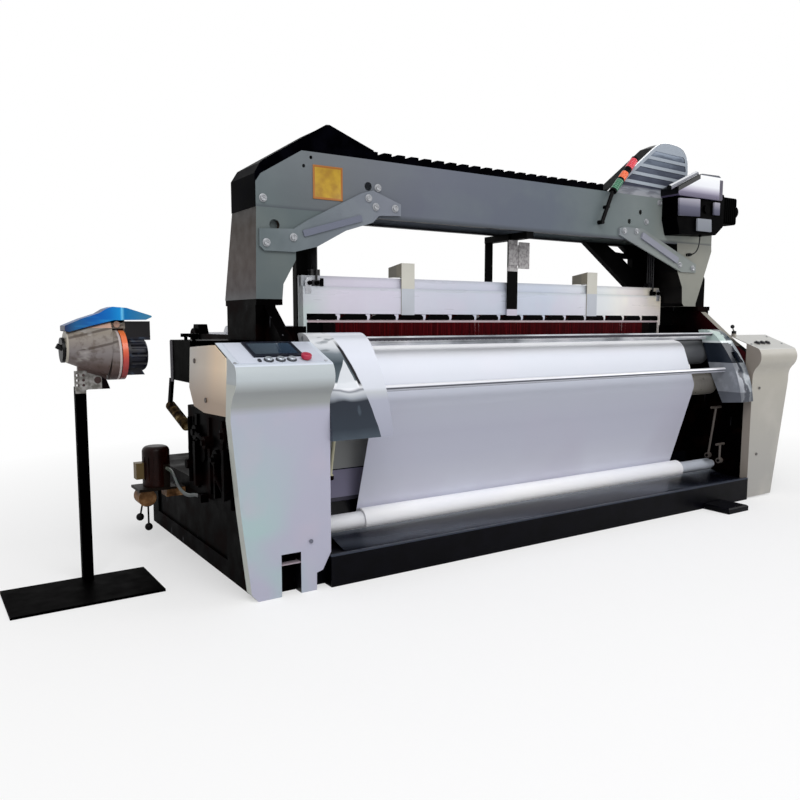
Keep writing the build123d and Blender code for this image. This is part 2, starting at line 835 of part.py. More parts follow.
def louvred_guard():
    face = outline(louvre_points, 12)
    inner = offset(face, -28)
    body = along_y(face, louvre_y) - along_y(offset(face, -6), (louvre_y[0] + 8, louvre_y[1]))
    low = gantry_top + 50
    step = (2510 - low) / louvre_count
    for place in range(louvre_count):
        z = low + place * step
        slot = Polygon((600, z), (1600, z - 30), (1600, z + step - 52), (600, z + step - 22), align=None)
        body -= along_y(inner & slot, (louvre_y[0], louvre_y[0] + 8))
        slat = along_y(inner & slot, (louvre_y[0] + 4, louvre_y[0] + 12))
        body += slat
    return body


dobby_points = [
    (1255, 2215), (1255, 2000), (1290, 1893), (1700, 1908), (dobby_end, 1975), (dobby_end, 2204),
    (1462, 2250),
]
dobby_plates = (
    [(1262, 2018), (1494, 2026), (1490, 2148), (1258, 2138)],
    [(1472, 1925), (1634, 1925), (1627, 2014), (1468, 2012)],
    [(1656, 2050), (1722, 2050), (1722, 2140), (1656, 2140)],
)
hood_points = [(1236, 2155), (1236, 2212), (1490, 2325), (1690, 2330), (1738, 2300), (1738, 2155)]
cable_points = [
    (1580, 383, 1893), (1579, 384, 1862), (1575, 386, 1830), (1568, 392, 1800), (1560, 406, 1777),
    (gland_x, 430, gland_z), (gland_x, gantry_front - gland_length, gland_z),
]


def dobby_body():
    body = along_y(outline(dobby_points, 12), dobby_y)
    for points in dobby_plates:
        body += along_y(outline(points, 6), (dobby_y[0] - 14, dobby_y[0]))
    x, y, z = cable_points[0]
    body += post(x, y, (z, z + 24), 9)
    body += shaft((1222, 1262), (sum(dobby_y) / 2, 2045), 24)
    return body + stud(1580, (dobby_y[0] - 10, dobby_y[0]), 2085, 30)


def dobby_hood():
    hood = along_y(outline(hood_points, 16), (dobby_y[0] - hood_skirt, dobby_y[1]))
    hood += rod(*hood_tube, hood_tube_radius)
    return hood - along_y(outline(dobby_points, 12), dobby_y)


motor_length = 170
motor_z = (2000, 2196)


def dobby_motor():
    start = dobby_end
    y = (dobby_y[0] + 10, dobby_y[1] - 10)
    body = block((start, start + motor_length), y, motor_z)
    body = fillet(body.edges().filter_by(Axis.X), 16)
    for place in range(6):
        x = (start + 26 + place * 24, start + 34 + place * 24)
        body -= block(x, y, (motor_z[0], motor_z[0] + 8)) + block(x, y, (motor_z[1] - 8, motor_z[1]))
        body -= block(x, (y[0], y[0] + 6), motor_z)
    middle = (sum(y) / 2, sum(motor_z) / 2)
    return body + shaft((start + motor_length, start + motor_length + 32), middle, 52)


lamp_foot = (608, 438, 1938)
lamp_base = (703, 438, 2146)
lamp_top = (915, 438, 2382)
lens_radius = 26


def lamp_point(along):
    return tuple(a + (b - a) * along for a, b in zip(lamp_base, lamp_top))


lens_start = 0.04
lens_step = 0.32
lens_count = 3


def signal_lamp():
    body = rod(lamp_foot, lamp_base, 13)
    body += rod(lamp_base, lamp_point(lens_start), lens_radius)
    body += stud(lamp_foot[0], (lamp_foot[1] - 10, gantry_front), lamp_foot[2], 14)
    clamp = [(a + b) / 2 for a, b in zip(lamp_foot, lamp_base)]
    body += stud(clamp[0], (clamp[1] - 12, gantry_front), clamp[2], 11)
    for place in range(lens_count):
        start = lens_start + place * lens_step
        collar = start + lens_step - 0.035
        body += rod(lamp_point(start), lamp_point(collar), lens_radius - 2)
        body += rod(lamp_point(collar), lamp_point(start + lens_step), lens_radius)
    return body


# Handles, pump unit and feeder

def tee_handle(axis, top, bar_length):
    x = (tee_pin_x[0] + 4, tee_pin_x[0] + 36)
    hub = shaft(x, axis, 20)
    middle = sum(x) / 2
    body = hub + rod((middle, axis[0], axis[1]), (middle, top[0], top[1]), 8)
    body += shaft((middle - bar_length / 2, middle + bar_length / 2), top, 9)
    return body - shaft(x, axis, tee_pin_radius + running)


def pump_body():
    x, y = pump_centre
    foot_z = (pump_motor_z[0] - 14, pump_motor_z[0])
    body = block((x - 120, x + 84), (y - 95, y + 80), foot_z)
    body += block((x + 40, -left_base_reach), (y - 50, y + 50), (300, foot_z[0]))
    manifold = Pos(x - 66, y, 306) * Rot(90, 0, 0) * Cylinder(48, 110)
    body += manifold
    for ball, lean in (((x - 104, y - 30, 201), 20), ((x - 61, y - 40, 142), 0)):
        body += rod((ball[0] + lean, ball[1], 300), ball, 5) + Pos(*ball) * Rot(90, 0, 0) * Sphere(21)
    outlet = (hose_points[0][0], hose_points[0][1], hose_points[0][2])
    body += block((outlet[0] - 16, outlet[0] + 16), (outlet[1], outlet[1] + 14), (foot_z[1], outlet[2] + 18))
    return body


def pump_motor():
    x, y = pump_centre
    body = post(x, y, pump_motor_z, pump_motor_radius)
    body = fillet(body.edges().group_by(Axis.Z)[-1], 30)
    for fin in range(16):
        angle = fin * pi / 8
        middle = Pos(x, y, sum(pump_motor_z) / 2 - 10)
        body -= middle * Rot(0, 0, degrees(angle)) * Pos(pump_motor_radius, 0, 0) * Box(10, 9, 130)
    return body + block((x - 116, x - 62), (y - 30, y + 30), (410, 500))


hose_points = [
    (hose_x, 1010, 470), (hose_x, 930, 470), (hose_x - 12, 822, 448), (hose_x - 20, 712, 406),
    (hose_x - 14, 604, 392), (hose_x, 506, 420), hose_inlet,
]


def cord(points, radius):
    radii = []
    for before, corner, after in zip(points, points[1:], points[2:]):
        arrive = Vector(*corner) - Vector(*before)
        leave = Vector(*after) - Vector(*corner)
        half_turn = radians(arrive.get_angle(leave)) / 2
        radii.append(0.45 * min(arrive.length, leave.length) / tan(half_turn))
    path = FilletPolyline(*points, radius=radii)
    section = Plane(origin=path @ 0, z_dir=path % 0) * Circle(radius)
    tube = sweep(section, path=path)
    print("cord radii", [round(r) for r in radii], "length", round(path.length))
    print("volume over section times length", tube.volume / (pi * radius ** 2 * path.length))
    return tube


strip_x = (-2679, -2621)
bracket_y = (feeder_y - 18, feeder_y - 15)
bracket_points = [(strip_x[1], 948), (-2515, 948), (-2530, 990), (-2560, 1012), (strip_x[1], 1030)]
cover_points = [
    (-2719, 1230), (-2719, 1256), (-2640, 1290), (-2565, 1315), (-2529, 1337), (-2500, 1347), (-2435, 1342),
    (-2306, 1301), (-2344, 1284), (-2495, 1282), (-2600, 1256), (-2701, 1227),
]
tail_block_x = (ring_x[1] + 9, -2316)


def feeder_stand():
    body = block((-3040, -2375), (375, 770), (0, plate_thickness))
    body += block((-2676, -2626), (bracket_y[1], feeder_y + 25), (plate_thickness, post_top))
    strip = block(strip_x, bracket_y, (post_top - 16, 1040))
    for column_place in range(2):
        for row in range(3):
            strip -= stud(strip_x[0] + 16 + column_place * 26, bracket_y, post_top + 8 + row * 24, 7)
    gusset = along_y(outline(bracket_points), bracket_y)
    gusset -= stud(-2572, bracket_y, 992, 17)
    return body + strip + gusset


def feeder_cone():
    start = (feeder_housing_x[0], feeder_y, housing_left[0])
    end = (flange_x[0], feeder_y, housing_right[0])
    return rod(start, end, housing_left[1], housing_right[1])


def feeder_housing():
    start = feeder_housing_x[0]
    axis = (feeder_y, feeder_z)
    body = feeder_cone() + shaft(flange_x, axis, flange_radius)
    body += shaft((flange_x[1], drum_x[1] - 6), axis, feeder_spindle_radius)
    body += shaft((start - 15, start), (feeder_y, housing_left[0] - 20), 60)
    nub = (start - 36, feeder_y - 20, housing_left[0] + 2)
    body += rod((start - 10, feeder_y - 20, housing_left[0] - 12), nub, 13)
    neck_z = (feeder_z + flange_radius + 8, 1270)
    body += block((flange_x[0] - 10, tail_block_x[0]), (feeder_y - 26, feeder_y + 26), neck_z)
    body += stud(-2478, (feeder_y - 34, feeder_y - 26), 1262, 15)
    return body + block((-2660, -2530), (bracket_y[1], feeder_y + 14), (post_top, 1090))


def feeder_cover():
    cover = along_y(outline(cover_points, 5), (feeder_y - 62, feeder_y + 62))
    cover -= feeder_cone()
    return cover


def feeder_ring():
    body = shaft(ring_x, (feeder_y, feeder_z), flange_radius)
    body -= shaft((ring_x[0] + 8, ring_x[1]), (feeder_y, feeder_z), flange_radius - 18)
    return body - shaft(ring_x, (feeder_y, feeder_z), feeder_spindle_radius + running)


def feeder_drum():
    axis = (feeder_y, feeder_z)
    body = shaft(drum_x, axis, drum_radius)
    body = fillet(body.edges().group_by(Axis.X)[-1], 26)
    for place in range(12):
        angle = place * pi / 6
        hollow = (feeder_y + drum_radius * cos(angle), feeder_z + drum_radius * sin(angle))
        body -= shaft((drum_x[0] + 20, drum_x[1]), hollow, 12)
    body += block(tail_block_x, (feeder_y - 26, feeder_y + 26), (feeder_z + drum_radius - 10, 1277))
    foot = [(-2440, 1012), (-2349, 1012), (-2370, 1048), (-2437, 1048)]
    body += along_y(outline(foot), (feeder_y - 30, feeder_y + 30))
    return body - shaft((drum_x[0], drum_x[1] - 6), axis, feeder_spindle_radius)


nodes = {
    "left_side_frame": left_side_frame(),
    "right_side_frame": right_side_frame(),
    "front_beam": front_beam(),
    "rear_beam": rear_beam(),
    "front_shield": front_shield(),
    "left_front_cover": left_front_cover(),
    "right_front_cover": right_front_cover(),
    "left_side_plate": left_side_plate(),
    "control_screen": control_screen(),
    "stop_button": stop_button(),
    "ball_lever": ball_lever(),
    "tension_box": tension_box(),
    "left_selvedge_guard": left_selvedge_guard(),
    "right_selvedge_guard": right_selvedge_guard(),
    "guard_bar": guard_bar(),
    "top_rail": top_rail(),
    "cloth_web": cloth_web(),
    "take_up_roller": roller(take_up_axis, take_up_radius),
    "guide_roller": roller(guide_axis, guide_radius),
    "backrest_roller": roller(backrest_axis, backrest_radius),
    "cloth_core": cloth_core(),
    "cloth_roll": cloth_roll(),
    "warp_beam": warp_beam(),
    "warp_yarn": warp_yarn(),
    "sley": sley(),
    "reed": reed(),
    "frame_guides": frame_guides(),
    "centre_bracket": hanging_brackets(),
    "gantry_beam": gantry_beam(),
    "gantry_left_column": gantry_left_column(),
    "gantry_right_column": gantry_right_column(),
    "brace_plates": brace_plates(),
    "machine_bolts": machine_bolts(),
    "gantry_roof": gantry_roof(),
    "louvred_guard": louvred_guard(),
    "dobby_body": dobby_body(),
    "dobby_hood": dobby_hood(),
    "dobby_motor": dobby_motor(),
    "dobby_cable": cord(cable_points, cable_radius),
    "signal_lamp": signal_lamp(),
    "pump_body": pump_body(),
    "pump_motor": pump_motor(),
    "pump_hose": cord(hose_points, pump_hose_radius),
    "feeder_stand": feeder_stand(),
    "feeder_housing": feeder_housing(),
    "feeder_cover": feeder_cover(),
    "feeder_ring": feeder_ring(),
    "feeder_drum": feeder_drum(),
}
for number, x in enumerate(left_button_x, 1):
    nodes[f"push_button_{number}"] = push_button(x, left_button_y)
for number, x in enumerate(right_button_x, 1):
    nodes[f"right_button_{number}"] = push_button(x, right_button_y)
first_frame = heald_frame()
for number in range(4):
    nodes[f"heald_frame_{number + 1}"] = Pos(0, number * frame_pitch, shed_lift * (number % 2)) * first_frame
nodes["tee_handle_1"] = tee_handle(tee_axes[0], (220, 652), 110)
nodes["tee_handle_2"] = tee_handle(tee_axes[1], (175, 385), 90)

os.makedirs("parts", exist_ok=True)
for name, solid in nodes.items():
    export_step(solid, f"parts/{name}.step")
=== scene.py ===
import math
import random

import bmesh
import bpy
from mathutils import Matrix, Vector


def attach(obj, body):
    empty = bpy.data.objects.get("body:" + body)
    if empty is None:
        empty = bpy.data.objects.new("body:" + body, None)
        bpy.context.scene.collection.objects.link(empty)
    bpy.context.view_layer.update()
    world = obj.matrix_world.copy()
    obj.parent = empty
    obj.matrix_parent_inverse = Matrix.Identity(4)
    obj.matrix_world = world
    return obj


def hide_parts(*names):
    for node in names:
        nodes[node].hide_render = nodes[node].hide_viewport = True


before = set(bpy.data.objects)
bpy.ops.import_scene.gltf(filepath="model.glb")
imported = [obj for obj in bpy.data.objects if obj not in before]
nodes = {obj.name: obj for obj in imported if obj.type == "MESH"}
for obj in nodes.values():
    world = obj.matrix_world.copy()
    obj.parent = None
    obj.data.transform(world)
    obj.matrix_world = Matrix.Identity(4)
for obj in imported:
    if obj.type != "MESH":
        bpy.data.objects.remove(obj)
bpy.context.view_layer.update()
random.seed(7)
print("frame loaded:", len(nodes), "nodes")


# Picking and shaping. Lengths are in metres, the frame is the CAD's.

def deselectAll():
    if bpy.context.object and bpy.context.object.mode != "OBJECT":
        bpy.ops.object.mode_set(mode="OBJECT")
    bpy.ops.object.select_all(action="DESELECT")


def pick(piece):
    deselectAll()
    piece.select_set(True)
    bpy.context.view_layer.objects.active = piece


def current(name):
    piece = bpy.context.object
    piece.name = name
    piece.data.name = name
    return piece


def bakePlace(piece):
    pick(piece)
    bpy.ops.object.transform_apply(location=True, rotation=True, scale=True)


def addBox(name, x, y, z):
    deselectAll()
    centre = ((x[0] + x[1]) / 2, (y[0] + y[1]) / 2, (z[0] + z[1]) / 2)
    bpy.ops.mesh.primitive_cube_add(size=1, location=centre)
    piece = current(name)
    piece.scale = (x[1] - x[0], y[1] - y[0], z[1] - z[0])
    bakePlace(piece)
    return piece


def addGrid(name, across, along):   # from -1 to 1 both ways, its rows are then laid out
    deselectAll()
    bpy.ops.mesh.primitive_grid_add(x_subdivisions=across, y_subdivisions=along, size=2, location=(0, 0, 0))
    return current(name)


def addRound(name, start, end, radius, sides=40):
    deselectAll()
    a, b = Vector(start), Vector(end)
    bpy.ops.mesh.primitive_cylinder_add(vertices=sides, radius=radius, depth=(b - a).length, location=(a + b) / 2)
    piece = current(name)
    piece.rotation_mode = "QUATERNION"
    piece.rotation_quaternion = (b - a).to_track_quat("Z", "X")
    bakePlace(piece)
    return piece


def editFaces(piece, keep):   # edit mode, with only the faces that keep() accepts selected
    pick(piece)
    bpy.ops.object.mode_set(mode="EDIT")
    bpy.ops.mesh.select_mode(type="FACE")
    bpy.ops.mesh.select_all(action="DESELECT")
    shape = bmesh.from_edit_mesh(piece.data)
    for face in shape.faces:
        face.select_set(bool(keep(face)))
    bmesh.update_edit_mesh(piece.data)


def leaveEdit():
    bpy.ops.object.mode_set(mode="OBJECT")


def looksForward(face):
    return face.normal.y < -0.9


def insetFaces(piece, width, shift, keep=looksForward):   # the kept faces are inset, then moved
    editFaces(piece, keep)
    bpy.ops.mesh.inset(thickness=width, depth=0.0)
    bpy.ops.mesh.extrude_region_move(TRANSFORM_OT_translate={"value": shift})
    leaveEdit()


def addModifier(piece, kind, **settings):
    pick(piece)
    made = piece.modifiers.new(kind.title(), kind)
    for key, value in settings.items():
        setattr(made, key, value)
    bpy.ops.object.modifier_apply(modifier=made.name)


def bevelEdges(piece, width, segments=2, angle=35):
    addModifier(piece, "BEVEL", width=width, segments=segments, limit_method="ANGLE", angle_limit=math.radians(angle))
    smooth(piece)
    return piece


def smooth(piece, angle=35):
    pick(piece)
    bpy.ops.object.shade_smooth_by_angle(angle=math.radians(angle))


def thicken(piece, thickness):   # a sheet of one layer, its faces outwards
    editFaces(piece, lambda face: True)
    bpy.ops.mesh.normals_make_consistent(inside=False)
    leaveEdit()
    addModifier(piece, "SOLIDIFY", thickness=thickness, offset=0)
    smooth(piece, 60)


def cutAway(piece, tool):
    addModifier(piece, "BOOLEAN", operation="DIFFERENCE", object=tool, solver="EXACT")
    bpy.data.objects.remove(tool)


def joined(name, pieces):
    deselectAll()
    for piece in pieces:
        piece.select_set(True)
    bpy.context.view_layer.objects.active = pieces[0]
    if len(pieces) > 1:
        bpy.ops.object.join()
    return current(name)


def copied(piece, name, matrix):
    twin = piece.copy()
    twin.data = piece.data.copy()
    twin.name = name
    twin.data.name = name
    twin.data.transform(matrix)
    bpy.context.scene.collection.objects.link(twin)
    return twin


def slab(name, points, y, bevel=0.0):   # an outline of (x, z) points given a depth along y
    deselectAll()
    mesh = bpy.data.meshes.new(name)
    mesh.from_pydata([(px, y[0], pz) for px, pz in points], [], [list(range(len(points)))])
    piece = bpy.data.objects.new(name, mesh)
    bpy.context.scene.collection.objects.link(piece)
    editFaces(piece, lambda face: True)
    bpy.ops.mesh.extrude_region_move(TRANSFORM_OT_translate={"value": (0, y[1] - y[0], 0)})
    bpy.ops.mesh.select_all(action="SELECT")
    bpy.ops.mesh.normals_make_consistent(inside=False)
    leaveEdit()
    if bevel:
        bevelEdges(piece, bevel)
    return piece


def tubeAlong(name, points, radius, order=3, sides=4):
    deselectAll()
    curve = bpy.data.curves.new(name, "CURVE")
    curve.dimensions = "3D"
    curve.bevel_depth = radius
    curve.bevel_resolution = sides
    curve.use_fill_caps = True
    spline = curve.splines.new("NURBS")
    spline.points.add(len(points) - 1)
    for spot, point in zip(spline.points, points):
        spot.co = (*point, 1)
    spline.order_u = order
    spline.use_endpoint_u = True
    spline.resolution_u = 8
    piece = bpy.data.objects.new(name, curve)
    bpy.context.scene.collection.objects.link(piece)
    return piece


def asMesh(piece):
    pick(piece)
    bpy.ops.object.convert(target="MESH")
    return piece


# Shader maths: sums written on sockets add their Math nodes.

def tone(red, green, blue):
    return tuple(round((part / 255) ** 2.2, 4) for part in (red, green, blue))


class Wire:
    def __init__(self, owner, socket):
        self.owner = owner
        self.socket = socket

    def __add__(self, other):
        return self.owner.math("ADD", self, other)

    def __radd__(self, other):
        return self.owner.math("ADD", other, self)

    def __sub__(self, other):
        return self.owner.math("SUBTRACT", self, other)

    def __rsub__(self, other):
        return self.owner.math("SUBTRACT", other, self)

    def __mul__(self, other):
        return self.owner.math("MULTIPLY", self, other)

    def __rmul__(self, other):
        return self.owner.math("MULTIPLY", other, self)

    def __gt__(self, other):
        return self.owner.math("GREATER_THAN", self, other)

    def __lt__(self, other):
        return self.owner.math("LESS_THAN", self, other)

    def __abs__(self):
        return self.owner.math("ABSOLUTE", self)


class Nodes:   # the node tree of a material or of the world
    def __init__(self, tree):
        self.tree = tree

    def link(self, source, target):
        if isinstance(source, Wire):
            self.tree.links.new(source.socket, target)
            return
        if target.type == "RGBA" and len(source) == 3:
            source = (*source, 1)
        target.default_value = source

    def node(self, kind, settings=None, out=0, **inputs):
        made = self.tree.nodes.new("ShaderNode" + kind)
        for key, value in (settings or {}).items():
            if key != "stops":
                setattr(made, key, value)
                continue
            ramp = made.color_ramp
            while len(ramp.elements) < len(value):
                ramp.elements.new(0.5)
            for element, (place, color) in zip(ramp.elements, value):
                element.position = place
                element.color = (*color, 1)
        for key, value in inputs.items():
            numbered = key[0] == "i" and key[1:].isdigit()
            self.link(value, made.inputs[int(key[1:]) if numbered else key.replace("_", " ")])
        return Wire(self, made.outputs[out])

    def math(self, operation, a, b=0.0):
        return self.node("Math", {"operation": operation}, i0=a, i1=b)


class Paint(Nodes):
    def __init__(self, name, color=(0.8, 0.8, 0.8), rough=0.5, metal=0.0, shine=0.5, **more):
        self.material = bpy.data.materials.new(name)
        self.material.use_nodes = True
        super().__init__(self.material.node_tree)
        self.shader = self.tree.nodes["Principled BSDF"]
        self.coords = None
        self.cover(color)
        self.put("Roughness", rough)
        self.put("Metallic", metal)
        self.put("Specular IOR Level", shine)
        for socket, value in more.items():
            self.put(socket.replace("_", " "), value)

    def put(self, socket, value):
        self.link(value, self.shader.inputs[socket])

    def cover(self, color):   # the colour so far
        self.base = color
        self.put("Base Color", color)

    def over(self, mask, color):   # another colour where the mask is 1
        self.cover(self.mix(mask, self.base, color))

    def tint(self, mask, *color):   # the same with red, green and blue up to 255
        self.over(mask, tone(*color))

    def patches(self, color, amount, low, high, *grain):   # soft patches of another colour
        self.over(self.span(self.noise(*grain), low, high) * amount, color)

    def roughen(self, first, last, *grain):   # roughness goes unevenly from first to last
        self.put("Roughness", self.span(self.noise(*grain), 0.3, 0.7, first, last))

    def place(self):
        if self.coords is None:
            self.coords = self.node("TexCoord", out=3)
        return self.coords

    def axes(self):
        split = self.node("SeparateXYZ", Vector=self.place()).socket.node
        return [Wire(self, split.outputs[n]) for n in range(3)]

    def facing(self):   # how far the surface looks along x and along z
        split = self.node("SeparateXYZ", Vector=self.node("TexCoord", out=1)).socket.node
        return [Wire(self, split.outputs[n]) for n in (0, 2)]

    def within(self, value, low, high):
        return (value > low) * (value < high)

    def noise(self, scale, detail=3.0, stretch=(1, 1, 1)):
        spot = self.node("Mapping", Vector=self.place(), Scale=stretch)
        return self.node("TexNoise", Vector=spot, Scale=scale, Detail=detail)

    def span(self, value, low, high, first=0.0, last=1.0):
        return self.node("MapRange", {"clamp": True}, i0=value, i1=low, i2=high, i3=first, i4=last)

    def mix(self, factor, first, second):
        return self.node("Mix", {"data_type": "RGBA"}, 2, i0=factor, i6=first, i7=second)

    def ramp(self, factor, stops):   # each stop is its place, red, green and blue
        stops = [(place, tone(*color)) for place, *color in stops]
        return self.node("ValToRGB", {"stops": stops}, Fac=factor)

    def fade(self, value, low, high, first, last):   # from one colour to another
        self.cover(self.mix(self.span(value, low, high), first, last))

    def blend(self, value, low, high, stops):   # the colour runs through the stops from low to high
        self.cover(self.ramp(self.span(value, low, high), stops))

    def bump(self, height, strength=0.2, distance=0.002):
        self.put("Normal", self.node("Bump", Height=height, Strength=strength, Distance=distance))

    def grain(self, scale, strength, distance=0.0006):   # a fine even bump
        self.bump(self.noise(scale, 1.0), strength, distance)


def dress(paint, *names):   # CAD nodes take this finish
    for name in names:
        mesh = nodes[name].data
        mesh.materials.clear()
        mesh.materials.append(paint.material)


def finishPiece(piece, paint, body="root", replaced=()):
    piece.data.materials.clear()
    piece.data.materials.append(paint.material)
    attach(piece, body)
    if replaced:
        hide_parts(*replaced)
    return piece


# Camera at the photograph's own place

cameraValues = {"at": (-3.3746, -3.1952, 1.2733), "yaw": 33.118, "pitch": 5.807, "lens": 34.515}

yaw, pitch = math.radians(cameraValues["yaw"]), math.radians(cameraValues["pitch"])
aim = Vector((math.sin(yaw) * math.cos(pitch), math.cos(yaw) * math.cos(pitch), -math.sin(pitch)))
deselectAll()
bpy.ops.object.camera_add(location=cameraValues["at"])
camera = bpy.context.object
camera.rotation_mode = "QUATERNION"
camera.rotation_quaternion = aim.to_track_quat("-Z", "Y")
camera.data.lens = cameraValues["lens"]
camera.data.sensor_width = 36
camera.data.clip_start = 0.05
camera.data.clip_end = 200
bpy.context.scene.camera = camera
bpy.context.scene.view_settings.view_transform = "Standard"
print("camera placed")


# Finishes

def paintedSteel(name, color, rough=0.42, shine=0.5, mottle=0.12, scale=3.0):
    paint = Paint(name, rough=rough, shine=shine)
    dim = tuple(part * (1 - mottle) for part in color)
    paint.fade(paint.noise(scale, 3.0), 0.38, 0.64, color, dim)
    paint.roughen(rough - 0.06, rough + 0.1, 14, 4.0)
    paint.grain(420, 0.05)
    return paint


def blackMachinery(name, glint=0.2):   # oily castings, with grey streaks painted on as glints of light
    paint = Paint(name, rough=0.5, shine=0.01)
    grime = paint.noise(7, 7.0)
    paint.cover(paint.ramp(grime, [
        (0.0, 2, 2, 3), (0.52, 6, 4, 5), (0.66, 20, 11, 10), (1.0, 34, 28, 27)]))
    # painted highlights: grey streaks stand for glints of light on the black
    streak = paint.noise(16, 4.0, (1.6, 1.6, 0.35))
    paint.tint(paint.span(streak, 0.69, 0.76, 0.0, glint), 150, 152, 160)
    paint.put("Roughness", paint.span(grime, 0.3, 0.7, 0.3, 0.6))
    paint.bump(paint.noise(60, 5.0), 0.2, 0.002)
    return paint


def turnedSteel(name, color=(0.36, 0.37, 0.40), rough=0.3, metal=0.6):
    paint = Paint(name, rough=rough, metal=metal)
    lines = paint.noise(900, 2.0, (1, 0.02, 0.02))
    light = tuple(min(1, part * 1.25) for part in color)
    paint.fade(lines, 0.35, 0.65, color, light)
    paint.roughen(rough - 0.08, rough + 0.1, 30, 3.0)
    paint.bump(lines, 0.08, 0.0004)
    return paint


def mouldedPlastic(name, color, rough=0.4, coat=0.0, shine=0.4):
    paint = Paint(name, rough=rough, Coat_Roughness=0.12, shine=shine)
    dim = tuple(part * 0.86 for part in color)
    paint.fade(paint.noise(4, 2.0), 0.3, 0.7, color, dim)
    paint.put("Coat Weight", coat)
    paint.grain(700, 0.06, 0.0004)
    return paint


paint = Paint("coolWhiteCover", rough=0.36)
x, y, z = paint.axes()
nx, nz = paint.facing()
paint.cover(tone(170, 170, 188))
cloud = paint.noise(2.6, 2.0)
aqua = paint.span(z, 0.98, 0.3) * paint.span(x, -1.74, -2.04) * paint.span(cloud, 0.36, 0.56)
paint.tint(aqua, 160, 184, 186)
paint.patches(tone(182, 172, 188), 0.4, 0.56, 0.72, 4.1, 2.0)
# painted shade over the lip's lower, concave face
paint.tint(paint.span(z, 0.86, 0.90), 150, 154, 154)
# painted highlight over the lip's upper, rounded face
paint.tint(paint.span(z, 0.965, 1.02), 180, 188, 192)
# painted light: faces turned upwards are lighter
paint.tint(nz > 0.6, 206, 214, 226)
paint.tint((nx < -0.6) * (z < 1.0), 186, 190, 184)
# painted shade: the inner faces of the opening are near black; the bracket inside keeps its own tone
opening = paint.within(x, -1.9455, -1.8445) * (z < 0.2005) * (y > 0.0005)
paint.tint(opening, 9, 9, 11)
paint.tint(opening * paint.within(z, 0.1455, 0.1525), 150, 138, 146)
paint.tint((y < -0.001) * (z < 0.5), 96, 98, 112)
paint.grain(520, 0.04)
dress(paint, "left_front_cover")

paint = Paint("creamWhiteCover", rough=0.36)
x, y, z = paint.axes()
nx, nz = paint.facing()
paint.fade(z, 0.2, 0.95, tone(156, 154, 150), tone(172, 168, 158))
paint.patches(tone(184, 180, 172), 0.5, 0.45, 0.65, 3.0, 3.0)
# painted light: faces turned upwards are lighter
paint.tint(nz > 0.6, 188, 188, 184)
# painted shade on the inner side face
paint.tint(nx < -0.6, 138, 130, 122)
paint.tint((y < -0.001) * (z < 0.84), 80, 78, 76)
paint.grain(520, 0.04)
dress(paint, "right_front_cover")

paint = Paint("beigePlate", rough=0.38)
x, y, z = paint.axes()
# painted highlight: warm and bright at the front and top, greyer towards the back
paint.blend(y + z * 0.25, 0.30, 0.86, [
    (0.0, 255, 232, 202), (0.28, 246, 220, 190), (0.55, 214, 200, 184), (1.0, 196, 192, 186)])
paint.tint(paint.span(z, 1.06, 0.90) * 0.85, 152, 130, 112)
paint.tint(x < -2.1705, 64, 54, 48)
paint.grain(520, 0.04)
dress(paint, "left_side_plate")

paint = Paint("gantryGrey", rough=0.4, shine=0.15)
x, y, z = paint.axes()
nx, nz = paint.facing()
paint.blend(x, -1.85, 1.85, [
    (0.0, 92, 101, 104), (0.12, 97, 101, 105), (0.3, 96, 100, 113), (0.55, 92, 99, 110), (0.68, 92, 101, 104),
    (0.80, 118, 126, 126), (0.93, 144, 147, 138), (1.0, 138, 138, 128)])
paint.patches(tone(110, 120, 120), 0.3, 0.42, 0.64, 3.2, 3.0)
paint.tint(paint.span(z, 1.90, 2.10) * paint.span(x, 0.2, -1.2) * 0.25, 126, 130, 136)
paint.tint(paint.span(z, 1.868, 1.846), 74, 78, 84)
# painted shade: faces turned downwards are dark
paint.tint(nz < -0.5, 18, 18, 22)
paint.tint((y > 0.4765) * (y < 0.7935), 30, 30, 34)
paint.roughen(0.34, 0.5, 14, 4.0)
paint.grain(420, 0.05)
dress(paint, "gantry_beam")
paint = paintedSteel("braceGrey", tone(118, 122, 130), 0.4, 0.15)
x, y, z = paint.axes()
paint.fade(abs(x), 1.75, 1.05, tone(96, 105, 108), tone(118, 122, 132))
paint.patches(tone(130, 138, 142), 0.3, 0.42, 0.64, 5, 3.0)
paint.tint(paint.span(x, 0.6, 1.2), 128, 134, 132)
# painted highlight on the front rib, lighter on the right than on the left
paint.over(y < 0.4578, paint.mix(x > 0, tone(106, 110, 124), tone(136, 138, 150)))
dress(paint, "brace_plates")

paint = Paint("columnGrey", rough=0.42, shine=0.12)
x, y, z = paint.axes()
nx, nz = paint.facing()
paint.fade(x, 1.2, 1.4, tone(92, 101, 103), tone(139, 139, 131))
paint.patches(tone(116, 122, 118), 0.25, 0.42, 0.64, 3.2, 3.0)
# painted shade: the left column's outer side face is dark brown, darker upwards
outer = paint.ramp(paint.span(z, 1.39, 1.85), [
    (0.0, 92, 92, 94), (0.12, 70, 62, 62), (0.4, 72, 62, 58), (0.8, 55, 46, 40), (1.0, 44, 40, 38)])
paint.over((nx < -0.6) * (x < 0), outer)
paint.tint((nx < -0.5) * (x > 0), 12, 11, 12)
paint.tint((nx > 0.5) * (x < 0), 40, 40, 44)
paint.roughen(0.34, 0.5, 14, 4.0)
paint.grain(420, 0.05)
dress(paint, "gantry_left_column", "gantry_right_column")

roofPlastic = paint = Paint("roofBlack", rough=0.4, shine=0.004)
paint.fade(paint.noise(12, 4.0), 0.4, 0.7, tone(4, 4, 8), tone(12, 12, 17))
paint.roughen(0.34, 0.5, 6, 3.0)
dress(roofPlastic, "gantry_roof")

